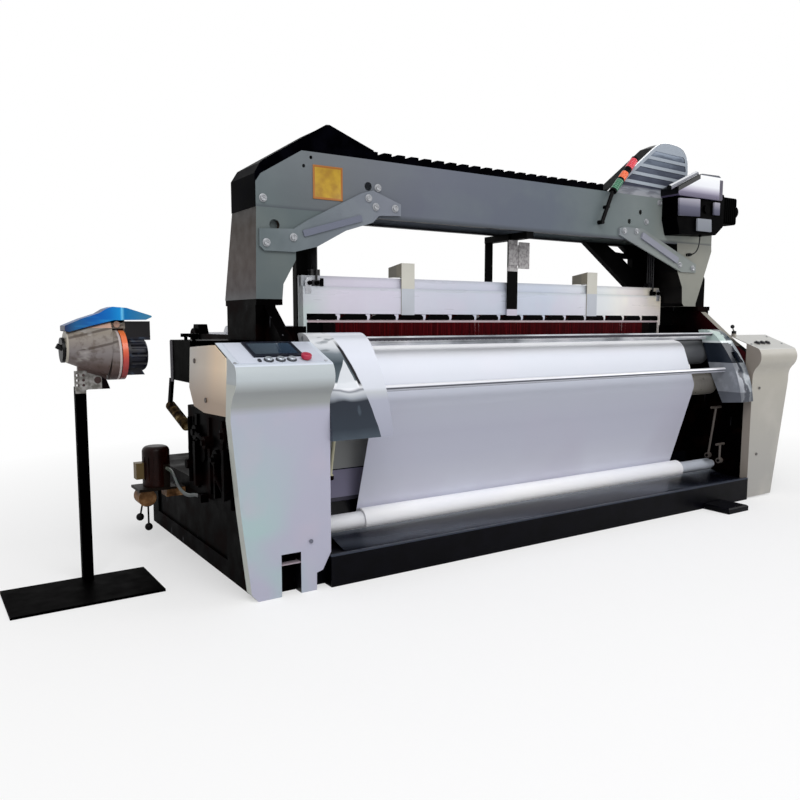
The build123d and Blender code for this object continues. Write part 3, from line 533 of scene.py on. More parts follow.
dress(blackMachinery("machineBlack"), "sley", "rear_beam")
paint = blackMachinery("leftFrameBlack", 0.35)
x, y, z = paint.axes()
kneePanel = paint.within(x, -1.7445, -0.9) * paint.within(y, 0.4385, 0.4445) * paint.within(z, 0.31, 0.68)
paint.over(kneePanel, paint.mix(z > 0.476, tone(156, 152, 178), tone(166, 168, 168)))
paint.tint(kneePanel * paint.within(z, 0.472, 0.478), 36, 36, 42)
handle = paint.within(x, -1.61, -1.53) * paint.within(y, 0.18, 0.22) * (z > 0.50)
paint.tint(handle, 204, 200, 172)
dress(paint, "left_side_frame")
paint = blackMachinery("rightFrameBlack")
x, y, z = paint.axes()
nx, nz = paint.facing()
redWall = paint.within(x, 1.7445, 1.7455) * (z > 0.98) * (y < 0.60)
paint.over(redWall, paint.ramp(paint.span(y - z * 0.4, -0.30, 0.02), [
    (0.0, 72, 30, 34), (0.5, 46, 16, 20), (1.0, 16, 10, 12)]))
paint.tint((nz > 0.5) * (z > 1.10) * (y < 0.468), 150, 146, 138)
dress(paint, "right_side_frame")

paint = paintedSteel("glossBlack", tone(14, 14, 19), 0.34, 0.06, 0.5, 9.0)
x, y, z = paint.axes()
# painted highlight: a light bluish strip along the top front
paint.tint((z > 0.1502) * (y < 0.03), 58, 62, 72)
dress(paint, "front_beam")
paint = paintedSteel("tensionBlack", tone(4, 3, 4), 0.4, 0.004, 0.4, 9.0)
x, y, z = paint.axes()
flange = (y > 0.849) * (z > 0.955) * (x < -2.1665)
paint.tint(flange * (y < 0.8860), 96, 94, 98)
# bronze cylinder; its brightest noise spots are painted glints
bronzeAndGlints = paint.ramp(paint.noise(22, 4.0), [
    (0.35, 22, 16, 12), (0.55, 70, 56, 36), (0.72, 150, 134, 100)])
paint.over(z < 0.84, bronzeAndGlints)
dress(paint, "tension_box")
bracketBlack = paint = paintedSteel("bracketBlack", tone(4, 4, 6), 0.45, 0.04, 0.4, 9.0)
x, y, z = paint.axes()
smallPlate = (y < 0.6325) * paint.within(z, 1.60, 1.80)
paint.over(smallPlate, paint.mix(
    paint.span(paint.noise(60, 3.0), 0.4, 0.62), tone(176, 174, 174), tone(140, 136, 138)))
paint.tint((y < 0.6325) * (z < 1.356), 205, 200, 214)
dress(bracketBlack, "centre_bracket")
paint = paintedSteel("standBlack", tone(3, 2, 3), 0.45, 0.004, 0.3, 12.0)
x, y, z = paint.axes()
bright = paint.mix(paint.span(paint.noise(40, 3.0), 0.4, 0.6), tone(150, 148, 146), tone(104, 102, 98))
paint.over((y < 0.7305) * (z > 0.93) * (x > -2.69), bright)
paint.tint((y < 0.7305) * (z > 0.93) * (x > -2.5535), 24, 20, 22)
dress(paint, "feeder_stand")
paint = paintedSteel("dobbyBlack", tone(4, 4, 6), 0.45, 0.008, 0.4, 9.0)
x, y, z = paint.axes()
fall = paint.span(z, 1.93, 2.15)
panel = paint.ramp(fall, [
    (0.0, 130, 134, 142), (0.38, 142, 146, 154), (0.42, 78, 78, 92), (0.7, 104, 104, 120), (1.0, 176, 174, 186)])
paint.over(y < 0.3385, panel)
paint.tint((y < 0.3385) * paint.within(x, 1.545, 1.615) * (z > 2.04), 6, 6, 8)
dress(paint, "dobby_body")

paint = Paint("shieldBlue", rough=0.24, metal=0.2, shine=0.15)
x, y, z = paint.axes()
# painted reflections: wavy bands of light and dark along the shield
bands = paint.math("SINE", x * 3.0 + y * 24.0 + paint.noise(1.4, 2.0, (1, 2, 2)) * 6.0)
paint.blend(bands, -1, 1, [
    (0.0, 10, 10, 16), (0.5, 24, 26, 34), (0.8, 40, 44, 52), (1.0, 60, 64, 72)])
# painted highlight: a light line along the top edge
paint.tint(paint.span(z, 0.185, 0.193) * (y < 0.24) * 0.6, 104, 110, 118)
# painted shade: the rear part is near black
paint.tint(y > 0.40, 14, 14, 18)

shield = {"halfLength": 1.588, "thickness": 0.003,
          "path": [(0.020, 0.1515), (0.055, 0.1515), (0.212, 0.194), (0.228, 0.193), (0.262, 0.119),
                   (0.400, 0.119), (0.450, 0.300)]}
frontShield = addGrid("frontShield", 8, len(shield["path"]) - 1)
for vertex in frontShield.data.vertices:
    row = round((vertex.co.y + 1) / 2 * (len(shield["path"]) - 1))
    vertex.co = (vertex.co.x * shield["halfLength"], *shield["path"][row])
addModifier(frontShield, "SOLIDIFY", thickness=shield["thickness"], offset=0)
bevelEdges(frontShield, 0.0008)
finishPiece(frontShield, paint, replaced=("front_shield",))

hem = {"x": (-1.745, -1.000), "y": (0.4448, 0.4480), "z": (0.2970, 0.3400)}
kneeHem = bevelEdges(addBox("kneeHem", **hem), 0.0008)
finishPiece(kneeHem, mouldedPlastic("kneeHemGrey", tone(84, 82, 96), 0.5))

# the guard's bands of light and dark are painted reflections and highlights
paint = Paint("bentStainless", rough=0.22, metal=0.15, shine=0.3)
x, y, z = paint.axes()
wander = paint.noise(6.0, 2.0) - 0.5
level = z + wander * 0.05
inner = x + z * 0.26 + wander * 0.02 + 1.2347   # past 0 the sheet is wider than the real one: there it takes the cloth's tone as a painted reflection of the cloth
paint.blend(level, 0.70, 1.20, [
    (0.0, 70, 80, 90), (0.12, 44, 52, 62), (0.38, 38, 44, 54), (0.42, 150, 156, 165), (0.47, 196, 200, 206),
    (0.49, 120, 124, 132), (0.51, 232, 234, 240), (0.56, 240, 242, 246), (0.58, 92, 104, 110),
    (0.74, 54, 66, 74), (0.84, 112, 122, 130), (0.90, 206, 210, 216), (1.0, 226, 228, 232)])
# painted highlight: a bright triangle
highlightPatch = (inner < -0.026) * (inner > (z - 1.09) * 0.9 - 0.026) * paint.within(z, 0.955, 1.09)
paint.tint(highlightPatch * 0.9, 222, 226, 232)
paint.tint(paint.span(paint.noise(9.0, 3.0, (1, 1, 0.5)), 0.60, 0.66) * (z < 0.92) * 0.5, 92, 104, 116)
# painted reflection of the cloth where the sheet is wider than the real one
clothReflection = paint.ramp(paint.span(z, 0.70, 1.20), [
    (0.0, 156, 158, 174), (0.38, 164, 167, 182), (0.46, 186, 190, 196), (0.50, 210, 214, 224),
    (0.8, 224, 228, 240), (1.0, 222, 226, 236)])
paint.over(inner > 0, clothReflection)
# painted reflection: a dark band near the edge
band = paint.span(inner, -0.019, -0.014) * paint.span(inner, 0.003, -0.002) * paint.span(z, 1.185, 1.15)
paint.tint(band * paint.span(z, 0.955, 0.975), 20, 22, 28)
# painted reflections in streaks over the top
reflectionStreaks = paint.span(paint.noise(26, 3.0, (0.35, 1, 1)), 0.54, 0.62)
paint.tint(reflectionStreaks * (z > 1.13) * (inner < 0) * 0.7, 104, 112, 118)
dress(paint, "left_selvedge_guard")

paint = Paint("rightGuardSteel", rough=0.22, metal=0.15, shine=0.3)
x, y, z = paint.axes()
# painted reflections: bands of light and dark across the guard, a painted highlight line near the top and painted
# shade low down
across = (x - 1.545) * 7.1 + (paint.noise(15, 3.0) - 0.5) * 1.1
paint.blend(across, 0, 1, [
    (0.0, 128, 132, 140), (0.25, 150, 154, 162), (0.38, 52, 56, 66), (0.60, 70, 76, 86), (0.72, 156, 162, 168),
    (1.0, 108, 114, 122)])
paint.over(paint.within(z, 0.985, 1.125), paint.mix(across > 0.86, tone(34, 40, 50), tone(180, 188, 194)))
paint.over(z > 1.125, paint.mix(across > 0.52, tone(186, 206, 202), tone(64, 76, 84)))
paint.tint(paint.within(z, 1.125, 1.14), 220, 228, 230)
paint.tint((z < 0.78) * 0.6, 50, 54, 64)
dress(paint, "right_selvedge_guard")

brightSteel = turnedSteel("turnedSteel", tone(176, 178, 184))
dress(brightSteel, "backrest_roller")
paint = turnedSteel("reedSteel", tone(150, 150, 156), 0.4, 0.3)
x, y, z = paint.axes()
# painted shade at the ends, past x ±1.30
paint.tint(abs(x) > 1.30, 10, 8, 10)
dress(paint, "reed")
dress(turnedSteel("handleSteel", tone(84, 78, 74), 0.4, 0.2), "tee_handle_1", "tee_handle_2")
paint = Paint("guardBarSteel", rough=0.24, metal=0.2)
x, y, z = paint.axes()
# painted reflections: bright and dark bands up the polished bar
paint.blend(z, 0.918, 0.952, [
    (0.0, 150, 152, 162), (0.22, 214, 216, 226), (0.42, 60, 62, 72), (0.55, 76, 78, 88), (0.68, 226, 228, 236),
    (1.0, 246, 246, 250)])
paint.bump(paint.noise(300, 2.0, (0.02, 1, 1)), 0.05, 0.0004)
dress(paint, "guard_bar")
paint = Paint("topRailSteel", rough=0.22, metal=0.3)
x, y, z = paint.axes()
# painted reflections: light and dark streaks along the rail
paint.cover(paint.ramp(paint.noise(2.2, 3.0, (1, 0.3, 0.3)), [
    (0.32, 96, 100, 106), (0.46, 190, 194, 200), (0.6, 222, 222, 228), (0.74, 128, 134, 138)]))
paint.tint((z < 1.190) * (y < 0.25), 52, 50, 58)
dress(paint, "top_rail")
dress(turnedSteel("guideBronze", tone(124, 120, 114), 0.34, 0.4), "guide_roller")
paint = paintedSteel("rollSleeve", tone(206, 212, 224), 0.4, 0.5, 0.14, 6.0)
x, y, z = paint.axes()
paint.tint(x < 0, 246, 247, 252)
dress(paint, "cloth_core")
dress(turnedSteel("warpBeamSteel", tone(150, 152, 158), 0.34), "warp_beam")
dress(mouldedPlastic("rollerRubber", tone(88, 90, 94), 0.6), "take_up_roller")

healdRed = paint = Paint("healdRed", rough=0.45, shine=0.04)
x, y, z = paint.axes()
paint.cover(paint.ramp(paint.noise(60, 3.0, (1.4, 1, 0.04)), [
    (0.25, 30, 4, 8), (0.48, 62, 9, 15), (0.62, 84, 13, 20), (0.78, 112, 44, 48)]))
# painted shade at the ends, past x ±1.30
paint.tint(abs(x) > 1.30, 16, 8, 10)


def healdWhite(name, lift, washed):   # rails and hooks white, wires red, rods dark
    paint = Paint(name, rough=0.3, metal=0.1)
    x, y, z = paint.axes()
    paint.blend(x, -1.5, 1.5, [
        (0.0, 208, 222, 222), (0.06, 220, 216, 230), (0.35, 202, 206, 220), (0.6, 200, 208, 224),
        (0.8, 230, 234, 236), (0.9, 254, 248, 236), (1.0, 240, 230, 212)])
    paint.patches(tone(212, 204, 222), 0.4, 0.45, 0.62, 3.5, 2.0)
    paint.over(paint.span(z - lift, 1.448, 1.47) * 0.5, washed)
    inside = abs(x) < 1.474
    paint.tint(inside * paint.within(z - lift, 1.042, 1.2712), 48, 8, 13)
    paint.tint(inside * paint.within(z - lift, 1.2712, 1.2855), 196, 178, 184)
    paint.tint(z - lift > 1.4708, 34, 34, 38)
    paint.roughen(0.24, 0.42, 22, 3.0, (0.1, 1, 1))
    return paint


dress(healdWhite("healdFrameWhite", 0.0, tone(176, 186, 190)), "heald_frame_1", "heald_frame_3")
dress(healdWhite("healdFrameLifted", 0.06, tone(160, 164, 170)), "heald_frame_2", "heald_frame_4")
paint = mouldedPlastic("guideCream", tone(194, 199, 208), 0.42)
x, y, z = paint.axes()
nx, nz = paint.facing()
paint.tint(z > 1.47, 204, 202, 192)
paint.tint(nx < -0.5, 134, 128, 112)
paint.tint(y > 0.7, 120, 116, 104)
dress(paint, "frame_guides")

paint = Paint("louvreBlueGrey", rough=0.36, shine=0.01)
x, y, z = paint.axes()
nx, nz = paint.facing()
paint.blend(z, 2.15, 2.54, [
    (0.0, 150, 152, 158), (0.12, 146, 150, 158), (0.16, 66, 68, 80), (0.5, 92, 98, 112), (0.72, 112, 122, 136),
    (0.88, 178, 188, 204), (1.0, 190, 198, 208)])
paint.patches(tone(60, 64, 76), 0.5, 0.48, 0.62, 26, 3.0, (0.25, 1, 1))
paint.tint((y < 0.4712) * (z > 2.19), 160, 168, 178)
paint.tint(nx < -0.35, 10, 10, 13)
paint.roughen(0.22, 0.4, 40, 2.0, (0.1, 1, 1))
dress(paint, "louvred_guard")

paint = Paint("hoodSilver", rough=0.3, shine=0.2)
x, y, z = paint.axes()
nx, nz = paint.facing()
# painted light and reflection: dark low down, near white over the top
paint.blend(z, 2.155, 2.325, [
    (0.0, 74, 68, 92), (0.16, 104, 98, 122), (0.30, 172, 168, 186), (0.5, 232, 234, 240), (0.94, 246, 248, 250),
    (0.95, 70, 74, 86), (1.0, 60, 62, 74)])
paint.tint((x > 1.70) * (z < 2.30), 58, 52, 72)
paint.tint(paint.within(z - x * 0.4449, 1.632, 1.664) * (x < 1.475), 14, 14, 18)
# painted highlight: the tube's upward faces are bright
onTube = (z - (x * 0.4453 + 1.6655) > 0.004) * (x < 1.475)
paint.over(onTube, paint.mix(nz > 0.5, tone(120, 122, 130), tone(226, 228, 232)))
paint.tint(nx < -0.9, 12, 12, 14)
dress(paint, "dobby_hood")
dress(mouldedPlastic("dobbyMotorBlack", tone(3, 3, 4), 0.5, 0.0, 0.004), "dobby_motor")
dress(mouldedPlastic("lampPost", tone(8, 7, 10), 0.4, 0.0, 0.06), "signal_lamp")
dress(turnedSteel("buttonSilver", tone(170, 176, 184), 0.3), "push_button_1", "push_button_2", "push_button_3")
dress(mouldedPlastic("buttonBlack", tone(22, 22, 26), 0.35, 0.0, 0.25), "right_button_1", "right_button_2",
      "right_button_3", "ball_lever")
dress(mouldedPlastic("stopRed", tone(178, 34, 66), 0.3, 0.3), "stop_button")
dress(mouldedPlastic("screenFrame", tone(16, 20, 34), 0.3, 0.0, 0.25), "control_screen")

paint = Paint("pumpTan", rough=0.5, shine=0.1)
x, y, z = paint.axes()
paint.cover(paint.ramp(paint.noise(20, 6.0), [
    (0.3, 64, 42, 26), (0.5, 122, 88, 58), (0.7, 168, 132, 96)]))
paint.tint(z < 0.262, 10, 8, 8)
paint.tint(z > 0.346, 26, 20, 16)
paint.bump(paint.noise(90, 4.0), 0.3, 0.001)
dress(paint, "pump_body")
paint = Paint("motorBrown", rough=0.36, shine=0.12)
x, y, z = paint.axes()
# dark brown; the brightest streaks are painted highlights
paint.cover(paint.ramp(paint.noise(9, 5.0, (1, 1, 0.3)), [
    (0.3, 12, 5, 3), (0.55, 34, 13, 8), (0.75, 88, 50, 34)]))
paint.tint(x < -2.279, 104, 88, 60)
paint.bump(paint.noise(90, 4.0), 0.2, 0.001)
dress(paint, "pump_motor")

feederGrey = paint = Paint("feederGrey", rough=0.4, shine=0.2)
x, y, z = paint.axes()
tall = paint.span(z + paint.noise(14, 3.0, (0.4, 1, 1)) * 0.06, 1.02, 1.30)
paint.cover(paint.ramp(tall, [
    (0.0, 62, 46, 46), (0.22, 96, 82, 78), (0.5, 126, 120, 120), (0.8, 134, 126, 116), (1.0, 150, 142, 130)]))
groove = paint.math("SINE", z * 88.0 - x * 22.0)
paint.tint(paint.span(groove, 0.80, 0.95) * paint.within(z, 1.14, 1.26) * 0.7, 64, 54, 50)
paint.patches(tone(78, 66, 58), 0.5, 0.50, 0.64, 32, 4.0)
# painted highlights in light patches
paint.patches(tone(172, 168, 164), 0.55, 0.58, 0.68, 17, 3.0, (0.5, 1, 1))
paint.tint(paint.within(x, -2.7165, -2.706), 170, 164, 152)
paint.tint(paint.within(x, -2.486, -2.4755) * (z < 1.236), 188, 178, 176)
paint.tint(x < -2.7165, 10, 9, 10)
paint.tint((y < 0.7185) * (z > 1.245), 198, 160, 140)
paint.bump(paint.noise(300, 2.0), 0.08, 0.0006)
dress(feederGrey, "feeder_housing")
paint = Paint("feederBlue", rough=0.34, shine=0.12)
x, y, z = paint.axes()
# painted highlights: cyan across the middle and a bright band
paint.blend(x, -2.72, -2.31, [
    (0.0, 44, 52, 84), (0.12, 40, 92, 140), (0.35, 22, 88, 170), (0.5, 24, 110, 190), (0.62, 30, 140, 214),
    (0.64, 110, 196, 240), (0.67, 20, 112, 176), (1.0, 70, 128, 160)])
# painted highlights in light patches
paint.patches(tone(60, 160, 216), 0.5, 0.52, 0.68, 12, 3.0, (0.3, 1, 2))
nx, nz = paint.facing()
# painted shade on the left-facing end
paint.tint(nx < -0.5, 24, 34, 62)
paint.tint((nz > 0.5) * 0.6, 12, 52, 110)
dress(paint, "feeder_cover")
paint = Paint("feederOrange", rough=0.32, Coat_Weight=0.2)
x, y, z = paint.axes()
paint.blend(z, 0.99, 1.234, [
    (0.0, 62, 20, 20), (0.12, 150, 52, 54), (0.4, 178, 56, 50), (0.7, 226, 102, 56), (1.0, 236, 122, 66)])
dress(paint, "feeder_ring")
paint = Paint("feederDark", rough=0.36, shine=0.3)
x, y, z = paint.axes()
# black-blue; the brightest noise spots are painted glints
paint.cover(paint.ramp(paint.noise(24, 4.0), [
    (0.35, 8, 9, 18), (0.58, 18, 20, 34), (0.75, 62, 76, 92)]))
paint.tint(z > 1.20, 12, 6, 14)
dress(paint, "feeder_drum")

neckBlock = {"x": (-2.5350, -2.4370), "y": (0.7215, 0.7685), "z": (1.2270, 1.2900)}
neck = bevelEdges(addBox("feederNeck", **neckBlock), 0.004, 3)
insetFaces(neck, 0.006, (0, 0.003, 0))
finishPiece(neck, feederGrey)
print("finishes made")


# Hose and cable: control points repeat the CAD routes

hose = {
    "points": [(-2.170, 1.010, 0.470), (-2.170, 0.930, 0.470), (-2.182, 0.822, 0.448), (-2.190, 0.712, 0.406),
               (-2.184, 0.604, 0.392), (-2.170, 0.506, 0.420), (-2.170, 0.430, 0.420)],
    "diameter": 0.018, "length": 0.594}
cable = {
    "points": [(1.580, 0.383, 1.893), (1.579, 0.384, 1.862), (1.575, 0.386, 1.830), (1.568, 0.392, 1.800),
               (1.560, 0.406, 1.777), (1.556, 0.430, 1.768), (1.556, 0.458, 1.768)],
    "diameter": 0.009, "length": 0.175}

hoseRubber = paint = Paint("hoseGreen", rough=0.3)
x, y, z = paint.axes()
paint.fade(paint.noise(30, 3.0), 0.4, 0.7, tone(10, 22, 24), tone(28, 50, 48))
paint.tint(paint.span(y, 0.84, 1.0) * 0.7, 116, 122, 112)
cableBlack = mouldedPlastic("cableBlack", tone(18, 18, 20), 0.45)

for name, values, paint, node, slot in (
        ("pumpHose", hose, hoseRubber, "pump_hose", "hose"),
        ("dobbyCable", cable, cableBlack, "dobby_cable", "black_plastic")):
    cord = tubeAlong(name, values["points"], values["diameter"] / 2, sides=6)
    cord.data.splines[0].order_u = 3
    cord.data.splines[0].use_endpoint_u = True
    finishPiece(cord, paint, replaced=(node,))

glandEnds = {"start": (1.556, 0.4400, 1.768), "end": (1.556, 0.4580, 1.768), "radius": 0.0125}
gland = bevelEdges(addRound("cableGland", **glandEnds, sides=24), 0.002)
insetFaces(gland, 0.003, (0, -0.004, 0))
finishPiece(gland, cableBlack)
print("cords laid")


# Cloth: the web from the fell over the rollers, and the wound roll

threads = 5200.0   # of the weave's sine waves, per metre
web = {"halfWidth": 1.325, "skin": 0.0013, "thickness": 0.0012, "ripple": 0.0022, "columns": 130, "step": 0.024}
turns = [((0.484, 1.165), 0.0), ((0.375, 1.050), 0.088), ((0.285, 0.828), 0.082), ((0.330, 0.205), -0.065)]
roll = {"halfLength": 1.332, "inner": 0.0508, "outer": 0.0648, "turns": 11, "thickness": 0.0010, "uneven": 0.003,
        "columns": 6, "steps": 40, "axis": (0.330, 0.205)}


def tangentRun(start, end, startRadius, endRadius):
    run = (end[0] - start[0], end[1] - start[1])
    heading = math.atan2(run[1], run[0]) - math.asin((endRadius - startRadius) / math.hypot(*run))
    normal = (-math.sin(heading), math.cos(heading))
    return [(c[0] - normal[0] * r, c[1] - normal[1] * r) for c, r in ((start, startRadius), (end, endRadius))]


def webProfile():   # (y, z, how far it hangs free)
    skin = web["skin"]
    reach = [radius + math.copysign(skin, radius) if radius else 0.0 for _, radius in turns]
    runs = [tangentRun(turns[n][0], turns[n + 1][0], reach[n], reach[n + 1]) for n in range(3)]
    line = []
    for place, (a, b) in enumerate(runs):
        count = max(3, round(math.dist(a, b) / web["step"]))
        for n in range(count):
            share = n / count
            line.append((a[0] + (b[0] - a[0]) * share, a[1] + (b[1] - a[1]) * share, math.sin(math.pi * share)))
        if place == 2:
            line.append((*b, 0.0))
            break
        centre, follow = turns[place + 1][0], runs[place + 1][0]
        first = math.atan2(b[1] - centre[1], b[0] - centre[0])
        sweep = (math.atan2(follow[1] - centre[1], follow[0] - centre[0]) - first + math.pi) % (2 * math.pi) - math.pi
        radius = abs(reach[place + 1])
        bends = max(4, round(abs(sweep) / math.radians(6)))
        for n in range(bends):
            angle = first + sweep * n / bends
            line.append((centre[0] + radius * math.cos(angle), centre[1] + radius * math.sin(angle), 0.0))
    return line


profile = webProfile()
clothWeb = addGrid("clothWeb", web["columns"], len(profile) - 1)
waves = [(random.uniform(3, 14), random.uniform(0, 6.3), random.uniform(-2.5, 2.5), random.uniform(0.3, 1))
         for _ in range(9)]
for vertex in clothWeb.data.vertices:
    u = vertex.co.x
    row = round((vertex.co.y + 1) / 2 * (len(profile) - 1))
    py, pz, free = profile[row]
    lift = sum(size * math.sin(pace * u + start + lean * pz) for pace, start, lean, size in waves) / 4
    after, before = profile[min(row + 1, len(profile) - 1)], profile[max(row - 1, 0)]
    run = Vector((0, after[0] - before[0], after[1] - before[1])).normalized()
    outward = Vector((0, run.z, -run.y))
    share = 1 if run.z < -0.9 else 0.3   # the front fall ripples most
    vertex.co = Vector((u * web["halfWidth"], py, pz)) - outward * lift * free * web["ripple"] * share
thicken(clothWeb, web["thickness"])

paint = Paint("whiteCloth", rough=0.85, Sheen_Weight=0.15)
x, y, z = paint.axes()
weave = paint.math("SINE", x * threads) * paint.math("SINE", z * threads + y * threads)
# painted light and shade: bright over the top, darker part way down the front
shade = paint.ramp(paint.span(z, 0.15, 1.17), [
    (0.0, 214, 216, 228), (0.22, 206, 208, 222), (0.36, 190, 192, 208), (0.5, 180, 182, 198),
    (0.765, 184, 188, 200), (0.785, 222, 226, 236), (0.9, 236, 240, 250), (0.97, 250, 251, 254),
    (1.0, 254, 254, 255)])
shade = paint.mix(paint.span(paint.noise(1.6, 2.0), 0.45, 0.62) * 0.3, shade, paint.mix(
    paint.span(z, 0.9, 1.0), tone(186, 182, 200), tone(246, 242, 252)))
paint.put("Base Color", shade)
paint.bump(weave, 0.06, 0.0003)
finishPiece(clothWeb, paint, replaced=("cloth_web",))

clothRoll = addGrid("clothRoll", roll["columns"], roll["turns"] * roll["steps"])
selvedge = [random.uniform(-1, 1) for _ in range(roll["turns"] + 2)]
rollY, rollZ = roll["axis"]
for vertex in clothRoll.data.vertices:
    share = (vertex.co.y + 1) / 2
    angle = -share * roll["turns"] * 2 * math.pi
    radius = roll["inner"] + (roll["outer"] - roll["inner"]) * share
    edge = vertex.co.x * (roll["halfLength"] - roll["uneven"] * (1 + selvedge[int(share * roll["turns"])]) / 2)
    vertex.co = (edge, rollY + radius * math.cos(angle), rollZ + radius * math.sin(angle))
thicken(clothRoll, roll["thickness"])
paint = Paint("woundCloth", rough=0.8, Sheen_Weight=0.15)
x, y, z = paint.axes()
bands = paint.noise(3.0, 2.0, (0.5, 2, 2))
paint.put("Base Color", paint.ramp(bands, [
    (0.35, 246, 247, 253), (0.55, 252, 252, 255), (0.75, 254, 254, 255)]))
paint.bump(paint.math("SINE", x * threads), 0.08, 0.0003)
finishPiece(clothRoll, paint, "cloth_roll", ("cloth_roll",))

yarn = {"halfLength": 1.553, "radius": 0.319, "inner": 0.1103, "ridges": 150, "depth": 0.0016, "steps": 72,
        "axis": (1.450, 0.520)}
pitchX = 2 * yarn["halfLength"] / yarn["ridges"]
deselectAll()
outline = [(-yarn["halfLength"], yarn["inner"])]
for n in range(yarn["ridges"]):
    left = -yarn["halfLength"] + n * pitchX
    outline += [(left, yarn["radius"] - yarn["depth"]), (left + pitchX * 0.5, yarn["radius"])]
outline += [(yarn["halfLength"], yarn["radius"] - yarn["depth"]), (yarn["halfLength"], yarn["inner"])]
warpMesh = bpy.data.meshes.new("warpYarn")
beamY, beamZ = yarn["axis"]
warpMesh.from_pydata([(px, beamY, beamZ + r) for px, r in outline], [(n, n + 1) for n in range(len(outline) - 1)], [])
warpYarn = bpy.data.objects.new("warpYarn", warpMesh)
bpy.context.scene.collection.objects.link(warpYarn)
pick(warpYarn)
bpy.ops.object.mode_set(mode="EDIT")
bpy.ops.mesh.select_all(action="SELECT")
bpy.ops.mesh.spin(steps=yarn["steps"], angle=2 * math.pi, center=(0, beamY, beamZ), axis=(1, 0, 0))
bpy.ops.mesh.select_all(action="SELECT")
bpy.ops.mesh.remove_doubles(threshold=0.00002)
bpy.ops.mesh.normals_make_consistent(inside=False)
leaveEdit()
smooth(warpYarn, 50)
paint = Paint("warpYarn", rough=0.75)
x, y, z = paint.axes()
paint.put("Base Color", paint.ramp(paint.noise(260, 2.0, (1, 0.02, 0.02)), [
    (0.3, 196, 190, 180), (0.5, 228, 224, 216), (0.7, 242, 240, 236)]))
paint.bump(paint.math("SINE", x * 2600.0), 0.15, 0.0006)
finishPiece(warpYarn, paint, "warp_beam", ("warp_yarn",))


# Healds hang in each frame as flat wires

healds = {"count": 430, "width": 0.0049, "thickness": 0.0008, "low": 1.030, "high": 1.2705, "span": 2.76,
          "stagger": 0.0016, "inset": 0.0036, "halfFrame": 0.006}
frames = [(0.650, 0.0), (0.668, 0.060), (0.686, 0.0), (0.704, 0.060)]   # (front, lift at rest)
for row, (frameFront, lifted) in enumerate(frames):
    left = -healds["span"] / 2 + row * healds["stagger"]
    front = frameFront + healds["halfFrame"] - healds["inset"]
    wire = addBox("heald", (left, left + healds["width"]), (front, front + healds["thickness"]),
                  (healds["low"] + lifted, healds["high"] + lifted))
    addModifier(wire, "ARRAY", count=healds["count"], use_relative_offset=False, use_constant_offset=True,
                constant_offset_displace=(healds["span"] / healds["count"], 0, 0))
    wire = current(f"healdWires_{row + 1}")
    finishPiece(wire, healdRed, f"heald_frame_{row + 1}")

# Black panes in the slots above the healds, their upper corners cut: painted shade
slots = {"count": 15, "half": 1.481, "tick": 0.0075, "left": (0.052, 0.027), "right": (0.018, 0.015),
         "y": (0.6486, 0.6497), "z": (1.2862, 1.3198)}
endShadePane = {"x": (1.4805, 1.372), "y": (0.6612, 0.6620), "z": (1.036, 1.2708)}
paneBevel = 0.0002
# black for the painted shade panes and for the clamp knobs
shadeAndKnobBlack = mouldedPlastic("shadeAndKnobBlack", tone(8, 7, 9), 0.6, 0.0, 0.02)
panes = []
pitch = 2 * slots["half"] / slots["count"]
low, high = slots["z"]
(leftCut, leftDrop), (rightCut, rightDrop) = slots["left"], slots["right"]
for n in range(slots["count"]):
    a = -slots["half"] + n * pitch + slots["tick"]
    b = a + pitch - 2 * slots["tick"]
    corners = [(a, low), (b, low), (b, high - rightDrop), (b - rightCut, high), (a + leftCut, high),
               (a, high - leftDrop)]
    panes.append(slab(f"slot{n}", corners, slots["y"], paneBevel))
low, high = endShadePane["z"]
for side in (-1, 1):   # no healds hang at the ends of the front frame; black panes there are painted shade
    a, b = sorted(side * px for px in endShadePane["x"])
    panes.append(slab("endShadePane", [(a, low), (b, low), (b, high), (a, high)], endShadePane["y"], paneBevel))
finishPiece(joined("hookSlotShades", panes), shadeAndKnobBlack, "heald_frame_1")

# Clamps of the lifting rods at both ends of the front frame
clamp = {"x": 1.440, "spread": 0.022, "z": 1.488, "knob": 0.0125, "knobY": (0.6365, 0.6500),
         "lever": ((1.398, 1.376), (0.6430, 0.6495), (1.4705, 1.5150)), "plateY": (0.6478, 0.6498),
         "plate": [(1.450, 1.4300), (1.488, 1.4300), (1.488, 1.4980), (1.476, 1.5180), (1.450, 1.5180)]}
leverX, leverY, leverZ = clamp["lever"]
knobs, plates = [], []
for side in (-1, 1):
    for shift in (-1, 1):
        kx = side * clamp["x"] + shift * clamp["spread"]
        start, end = [(kx, ky, clamp["z"]) for ky in clamp["knobY"]]
        knob = addRound("knob", start, end, clamp["knob"], 28)
        insetFaces(knob, 0.004, (0, 0.004, 0))
        knobs.append(bevelEdges(knob, 0.0012))
    knobs.append(bevelEdges(addBox("lever", sorted(side * px for px in leverX), leverY, leverZ), 0.004))
    # the plate's outer corner is cut, clear of the column's slanted edge at full lift
    plates.append(slab("clampPlate", [(side * px, pz) for px, pz in clamp["plate"]], clamp["plateY"], 0.0006))
finishPiece(joined("clampKnobs", knobs), shadeAndKnobBlack, "heald_frame_1")
finishPiece(joined("clampPlates", plates), brightSteel, "heald_frame_1")

# Feet of the two uprights behind the frames
upright = {"y": (0.742, 0.786), "z": (1.000, 1.2500)}
for name, reach in (("leftUprightFoot", (-1.497, -1.373)), ("rightUprightFoot", (1.373, 1.507))):
    foot = bevelEdges(addBox(name, reach, upright["y"], upright["z"]), 0.004)
    insetFaces(foot, 0.012, (0, 0.004, 0))
    finishPiece(foot, bracketBlack)
print("healds hung")


# Slotted bolts on the gantry and its braces

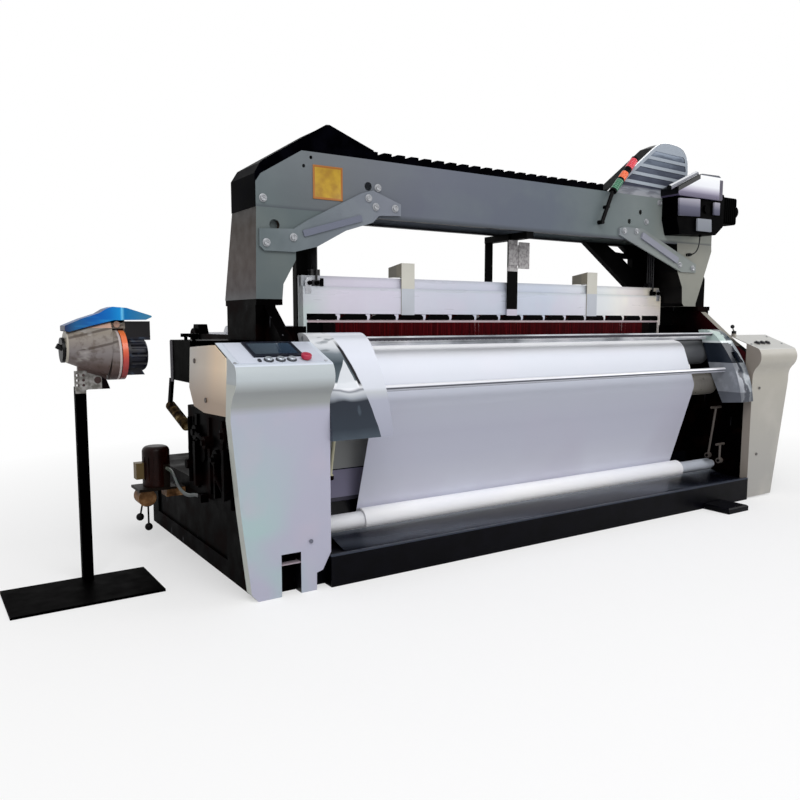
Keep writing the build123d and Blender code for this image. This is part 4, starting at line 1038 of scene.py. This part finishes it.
bolts = {"radius": 0.0150, "height": 0.009, "washer": 0.021, "thickness": 0.004, "slot": 0.0045,
         "slotFloor": 0.0085, "turns": (23, 61)}   # turns: the first slot's angle and the step to the next
plateBolts = [(-1.795, 1.672), (-1.645, 1.706), (-1.195, 1.941), (-1.150, 1.898), (-1.025, 1.899),
              (0.852, 1.897), (0.975, 1.901), (1.455, 1.690), (1.607, 1.670)]
beamBolts = [(-1.129, 2.003), (1.087, 1.976), (1.222, 2.118), (-1.805, 1.893)]
boltFaces = ((plateBolts, 0.458), (beamBolts, 0.470))   # the bolts and the y of the face under them

seat = -bolts["thickness"]
washer = bevelEdges(addRound("washer", (0, seat, 0), (0, 0, 0), bolts["washer"]), 0.001)
head = addRound("head", (0, seat - bolts["height"], 0), (0, seat, 0), bolts["radius"])
insetFaces(head, 0.003, (0, 0.0022, 0))
cutAway(head, addBox("slot", (-0.02, 0.02), (-0.02, -bolts["slotFloor"]), (-bolts["slot"] / 2, bolts["slot"] / 2)))
bevelEdges(head, 0.0008)
bolt = joined("bolt", [washer, head])
heads = []
firstTurn, nextTurn = bolts["turns"]
for spots, faceY in boltFaces:
    for n, (bx, bz) in enumerate(spots):
        turn = Matrix.Rotation(math.radians(firstTurn + nextTurn * n), 4, "Y")
        heads.append(copied(bolt, f"bolt{len(heads)}", Matrix.Translation((bx, faceY, bz)) @ turn))
bpy.data.objects.remove(bolt)
boltSteel = turnedSteel("boltSteel", tone(150, 152, 156), 0.3, 0.3)
finishPiece(joined("gantryBolts", heads), boltSteel, replaced=("machine_bolts",))

paint = Paint("bareYellowPlate", rough=0.4)
x, y, z = paint.axes()
paint.fade(paint.noise(18, 3.0), 0.4, 0.65, tone(176, 140, 34), tone(152, 114, 26))
inside = paint.within(x, -1.514, -1.361) * paint.within(z, 1.924, 2.075)
paint.tint(1 - inside, 150, 92, 30)
plateBlock = {"x": (-1.5255, -1.3495), "y": (0.4670, 0.4682), "z": (1.9125, 2.0865)}
plate = addBox("yellowPlate", **plateBlock)
insetFaces(plate, 0.005, (0, 0.0005, 0))
bevelEdges(plate, 0.0003)
finishPiece(plate, paint)
print("bolts and plate fixed")


# Signal lamp: three ribbed lenses on the post

lamp = {"base": (0.703, 0.438, 2.146), "top": (0.915, 0.438, 2.382), "radius": 0.0262, "ribs": 6, "fill": 0.92}


def lampPoint(along):
    return Vector(lamp["base"]).lerp(Vector(lamp["top"]), along)


lenses = (("green", tone(38, 104, 74), 0.045, 0.325), ("amber", tone(220, 96, 46), 0.372, 0.560),
          ("red", tone(204, 40, 60), 0.700, 0.960))   # (label, colour, start and end along the post)
for label, color, start, end in lenses:
    length = end - start
    rings = []
    for k in range(lamp["ribs"]):
        a = lampPoint(start + length * k / lamp["ribs"])
        b = lampPoint(start + length * (k + lamp["fill"]) / lamp["ribs"])
        rings.append(bevelEdges(addRound("ring", a, b, lamp["radius"], 32), 0.003, 3))
    lens = Paint(label + "Lens", rough=0.18, Coat_Weight=0.5)
    bright = tuple(min(1, part * 1.3 + 0.02) for part in color)
    glow = lens.mix(lens.span(lens.noise(30, 2.0), 0.35, 0.7), color, bright)
    lens.put("Base Color", glow)
    lens.put("Emission Color", glow)
    lens.put("Emission Strength", 0.12)
    finishPiece(joined(label + "Lens", rings), lens)
print("lamp lenses stacked")


# Panels: plate, glass, button rings, screws and a small switch

coverPanel = {"slope": 21.6, "at": (-0.035, 1.085),   # degrees, and a place (y, z) on its plane
              "plate": (-1.922, 0.088, 0.430, 0.228, 0.0002, 0.0014, 0.0005),   # as panelBox takes them
              "glass": (-1.923, 0.1175, 0.212, 0.1215, 0.0062, 0.0072, 0.0),
              "switch": (-2.036, 0.000, 0.014, 0.022, 0.0, 0.010, 0.002)}
slope = math.radians(coverPanel["slope"])
panelUp = Vector((0, -math.sin(slope), math.cos(slope)))
panelTurn = Matrix.Rotation(slope, 4, "X")


def layOnPanel(piece, px, py, height=0.0):
    atY, atZ = coverPanel["at"]
    place = Vector((px, py, atZ + (py - atY) * math.tan(slope))) + panelUp * height
    piece.data.transform(Matrix.Translation(place) @ panelTurn)


def panelBox(name, px, py, wide, long, low, high, bevel):
    piece = addBox(name, (-wide / 2, wide / 2), (-long / 2, long / 2), (low, high))
    layOnPanel(piece, px, py)
    return bevelEdges(piece, bevel) if bevel else piece


panelPlate = mouldedPlastic("panelPlate", tone(204, 210, 224), 0.36)
finishPiece(panelBox("panelPlate", *coverPanel["plate"]), panelPlate)
paint = Paint("screenGlass", rough=0.1, Coat_Weight=1.0)
x, y, z = paint.axes()
paint.put("Base Color", paint.mix(paint.span(x + y * 0.7, -1.99, -1.72), tone(34, 46, 62), tone(60, 76, 94)))
finishPiece(panelBox("screenGlass", *coverPanel["glass"]), paint)

seal = {"spots": [(-1.990, 0.004), (-1.932, 0.004), (-1.877, 0.004), (1.825, 0.050), (1.887, 0.050), (1.950, 0.050)],
        "radius": 0.0205, "thickness": 0.0030, "height": 0.005}
ringPaint = mouldedPlastic("darkRing", tone(40, 42, 50), 0.35)
rings = []
for px, py in seal["spots"]:
    deselectAll()
    bpy.ops.mesh.primitive_torus_add(
        major_radius=seal["radius"], minor_radius=seal["thickness"], major_segments=36, minor_segments=8)
    ring = current("ring")
    layOnPanel(ring, px, py, seal["height"])
    smooth(ring, 60)
    rings.append(ring)
rings.append(panelBox("switch", *coverPanel["switch"]))
finishPiece(joined("panelRings", rings), ringPaint)

panelScrew = {"spots": [(-2.156, -0.014), (-1.712, -0.014), (1.740, 0.040), (2.120, 0.040), (2.120, 0.160)],
              "radius": 0.0075, "height": 0.004}
screws = []
for px, py in panelScrew["spots"]:
    screw = addRound("screw", (0, 0, 0), (0, 0, panelScrew["height"]), panelScrew["radius"], 24)
    insetFaces(screw, 0.0022, (0, 0, -0.002), lambda face: face.normal.z > 0.9)
    bevelEdges(screw, 0.0007)
    layOnPanel(screw, px, py)
    screws.append(screw)
finishPiece(joined("panelScrews", screws), boltSteel)
print("panels fitted")


# Rims and edges of the louvred guard and the roof

rim = {"points": [(0.690, 2.150), (0.925, 2.325), (1.157, 2.498), (1.205, 2.524), (1.263, 2.538), (1.350, 2.538),
                  (1.430, 2.530), (1.482, 2.505), (1.514, 2.463), (1.529, 2.410), (1.531, 2.300), (1.531, 2.155)],
       "radius": 0.0045, "y": 0.472}
rimSteel = turnedSteel("rimSteel", (0.78, 0.79, 0.81), 0.18)
rimTube = asMesh(tubeAlong("louvreRim", [(px, rim["y"], pz) for px, pz in rim["points"]], rim["radius"]))
smooth(rimTube, 60)
finishPiece(rimTube, rimSteel)

ridge = {"points": [(-1.842, 2.014), (-1.808, 2.072), (-1.600, 2.200), (-1.430, 2.302), (-1.290, 2.250),
                    (-1.150, 2.199)],
         "radius": 0.003, "y": 0.478}
ridgeLine = [(px, ridge["y"], pz) for px, pz in ridge["points"]]
ridgeTube = asMesh(tubeAlong("roofEdge", ridgeLine, ridge["radius"], order=2))
finishPiece(ridgeTube, roofPlastic)
print("rims run")


# Floor, world and the two studio lamps

studio = {"key": 320, "fill": 95, "world": 0.46, "floor": tone(252, 252, 253)}

deselectAll()
bpy.ops.mesh.primitive_plane_add(size=60, location=(0, 0, -0.0005))
floor = current("studioFloor")
paint = Paint("paleFloor", studio["floor"], 0.9)
away = paint.span(paint.node("VectorMath", {"operation": "LENGTH"}, 1, i0=paint.place()), 2.4, 5.4, 0.45, 1.0)
glow = paint.node("Emission", Color=(1, 1, 1, 1), Strength=1.0)
fade = paint.node("MixShader", i0=away * paint.node("LightPath"), i1=Wire(paint, paint.shader.outputs[0]), i2=glow)
paint.link(fade, paint.tree.nodes["Material Output"].inputs["Surface"])
floor.data.materials.append(paint.material)

world = bpy.data.worlds.new("studio")
bpy.context.scene.world = world
world.use_nodes = True

sky = Nodes(world.node_tree)
rays = sky.node("LightPath").socket.node.outputs
direct, mirrored, through = [Wire(sky, rays[f"Is {kind} Ray"]) for kind in ("Camera", "Glossy", "Transmission")]
seen = sky.math("MAXIMUM", sky.math("MAXIMUM", direct, through), mirrored)
plain = sky.tree.nodes["Background"]
sky.link((1, 1, 1, 1), plain.inputs["Color"])
sky.link(studio["world"], plain.inputs["Strength"])
white = sky.node("Background", Color=(1, 1, 1, 1), Strength=1.0)
swap = sky.node("MixShader", i0=seen, i1=Wire(sky, plain.outputs[0]), i2=white)
sky.link(swap, sky.tree.nodes["World Output"].inputs["Surface"])


def addLamp(name, at, target, size, power):
    deselectAll()
    bpy.ops.object.light_add(type="AREA", location=at)
    light = bpy.context.object
    light.name = name
    light.data.shape = "RECTANGLE"
    light.data.size, light.data.size_y = size
    light.data.energy = power
    light.rotation_mode = "QUATERNION"
    light.rotation_quaternion = (Vector(target) - Vector(at)).to_track_quat("-Z", "Y")


addLamp("keyLamp", (-2.5, -4.5, 6.5), (0, 0.4, 0.9), (6, 4), studio["key"])
addLamp("fillLamp", (6.5, -2.5, 4.0), (0.5, 0.4, 1.0), (4, 4), studio["fill"])
print("studio lit")
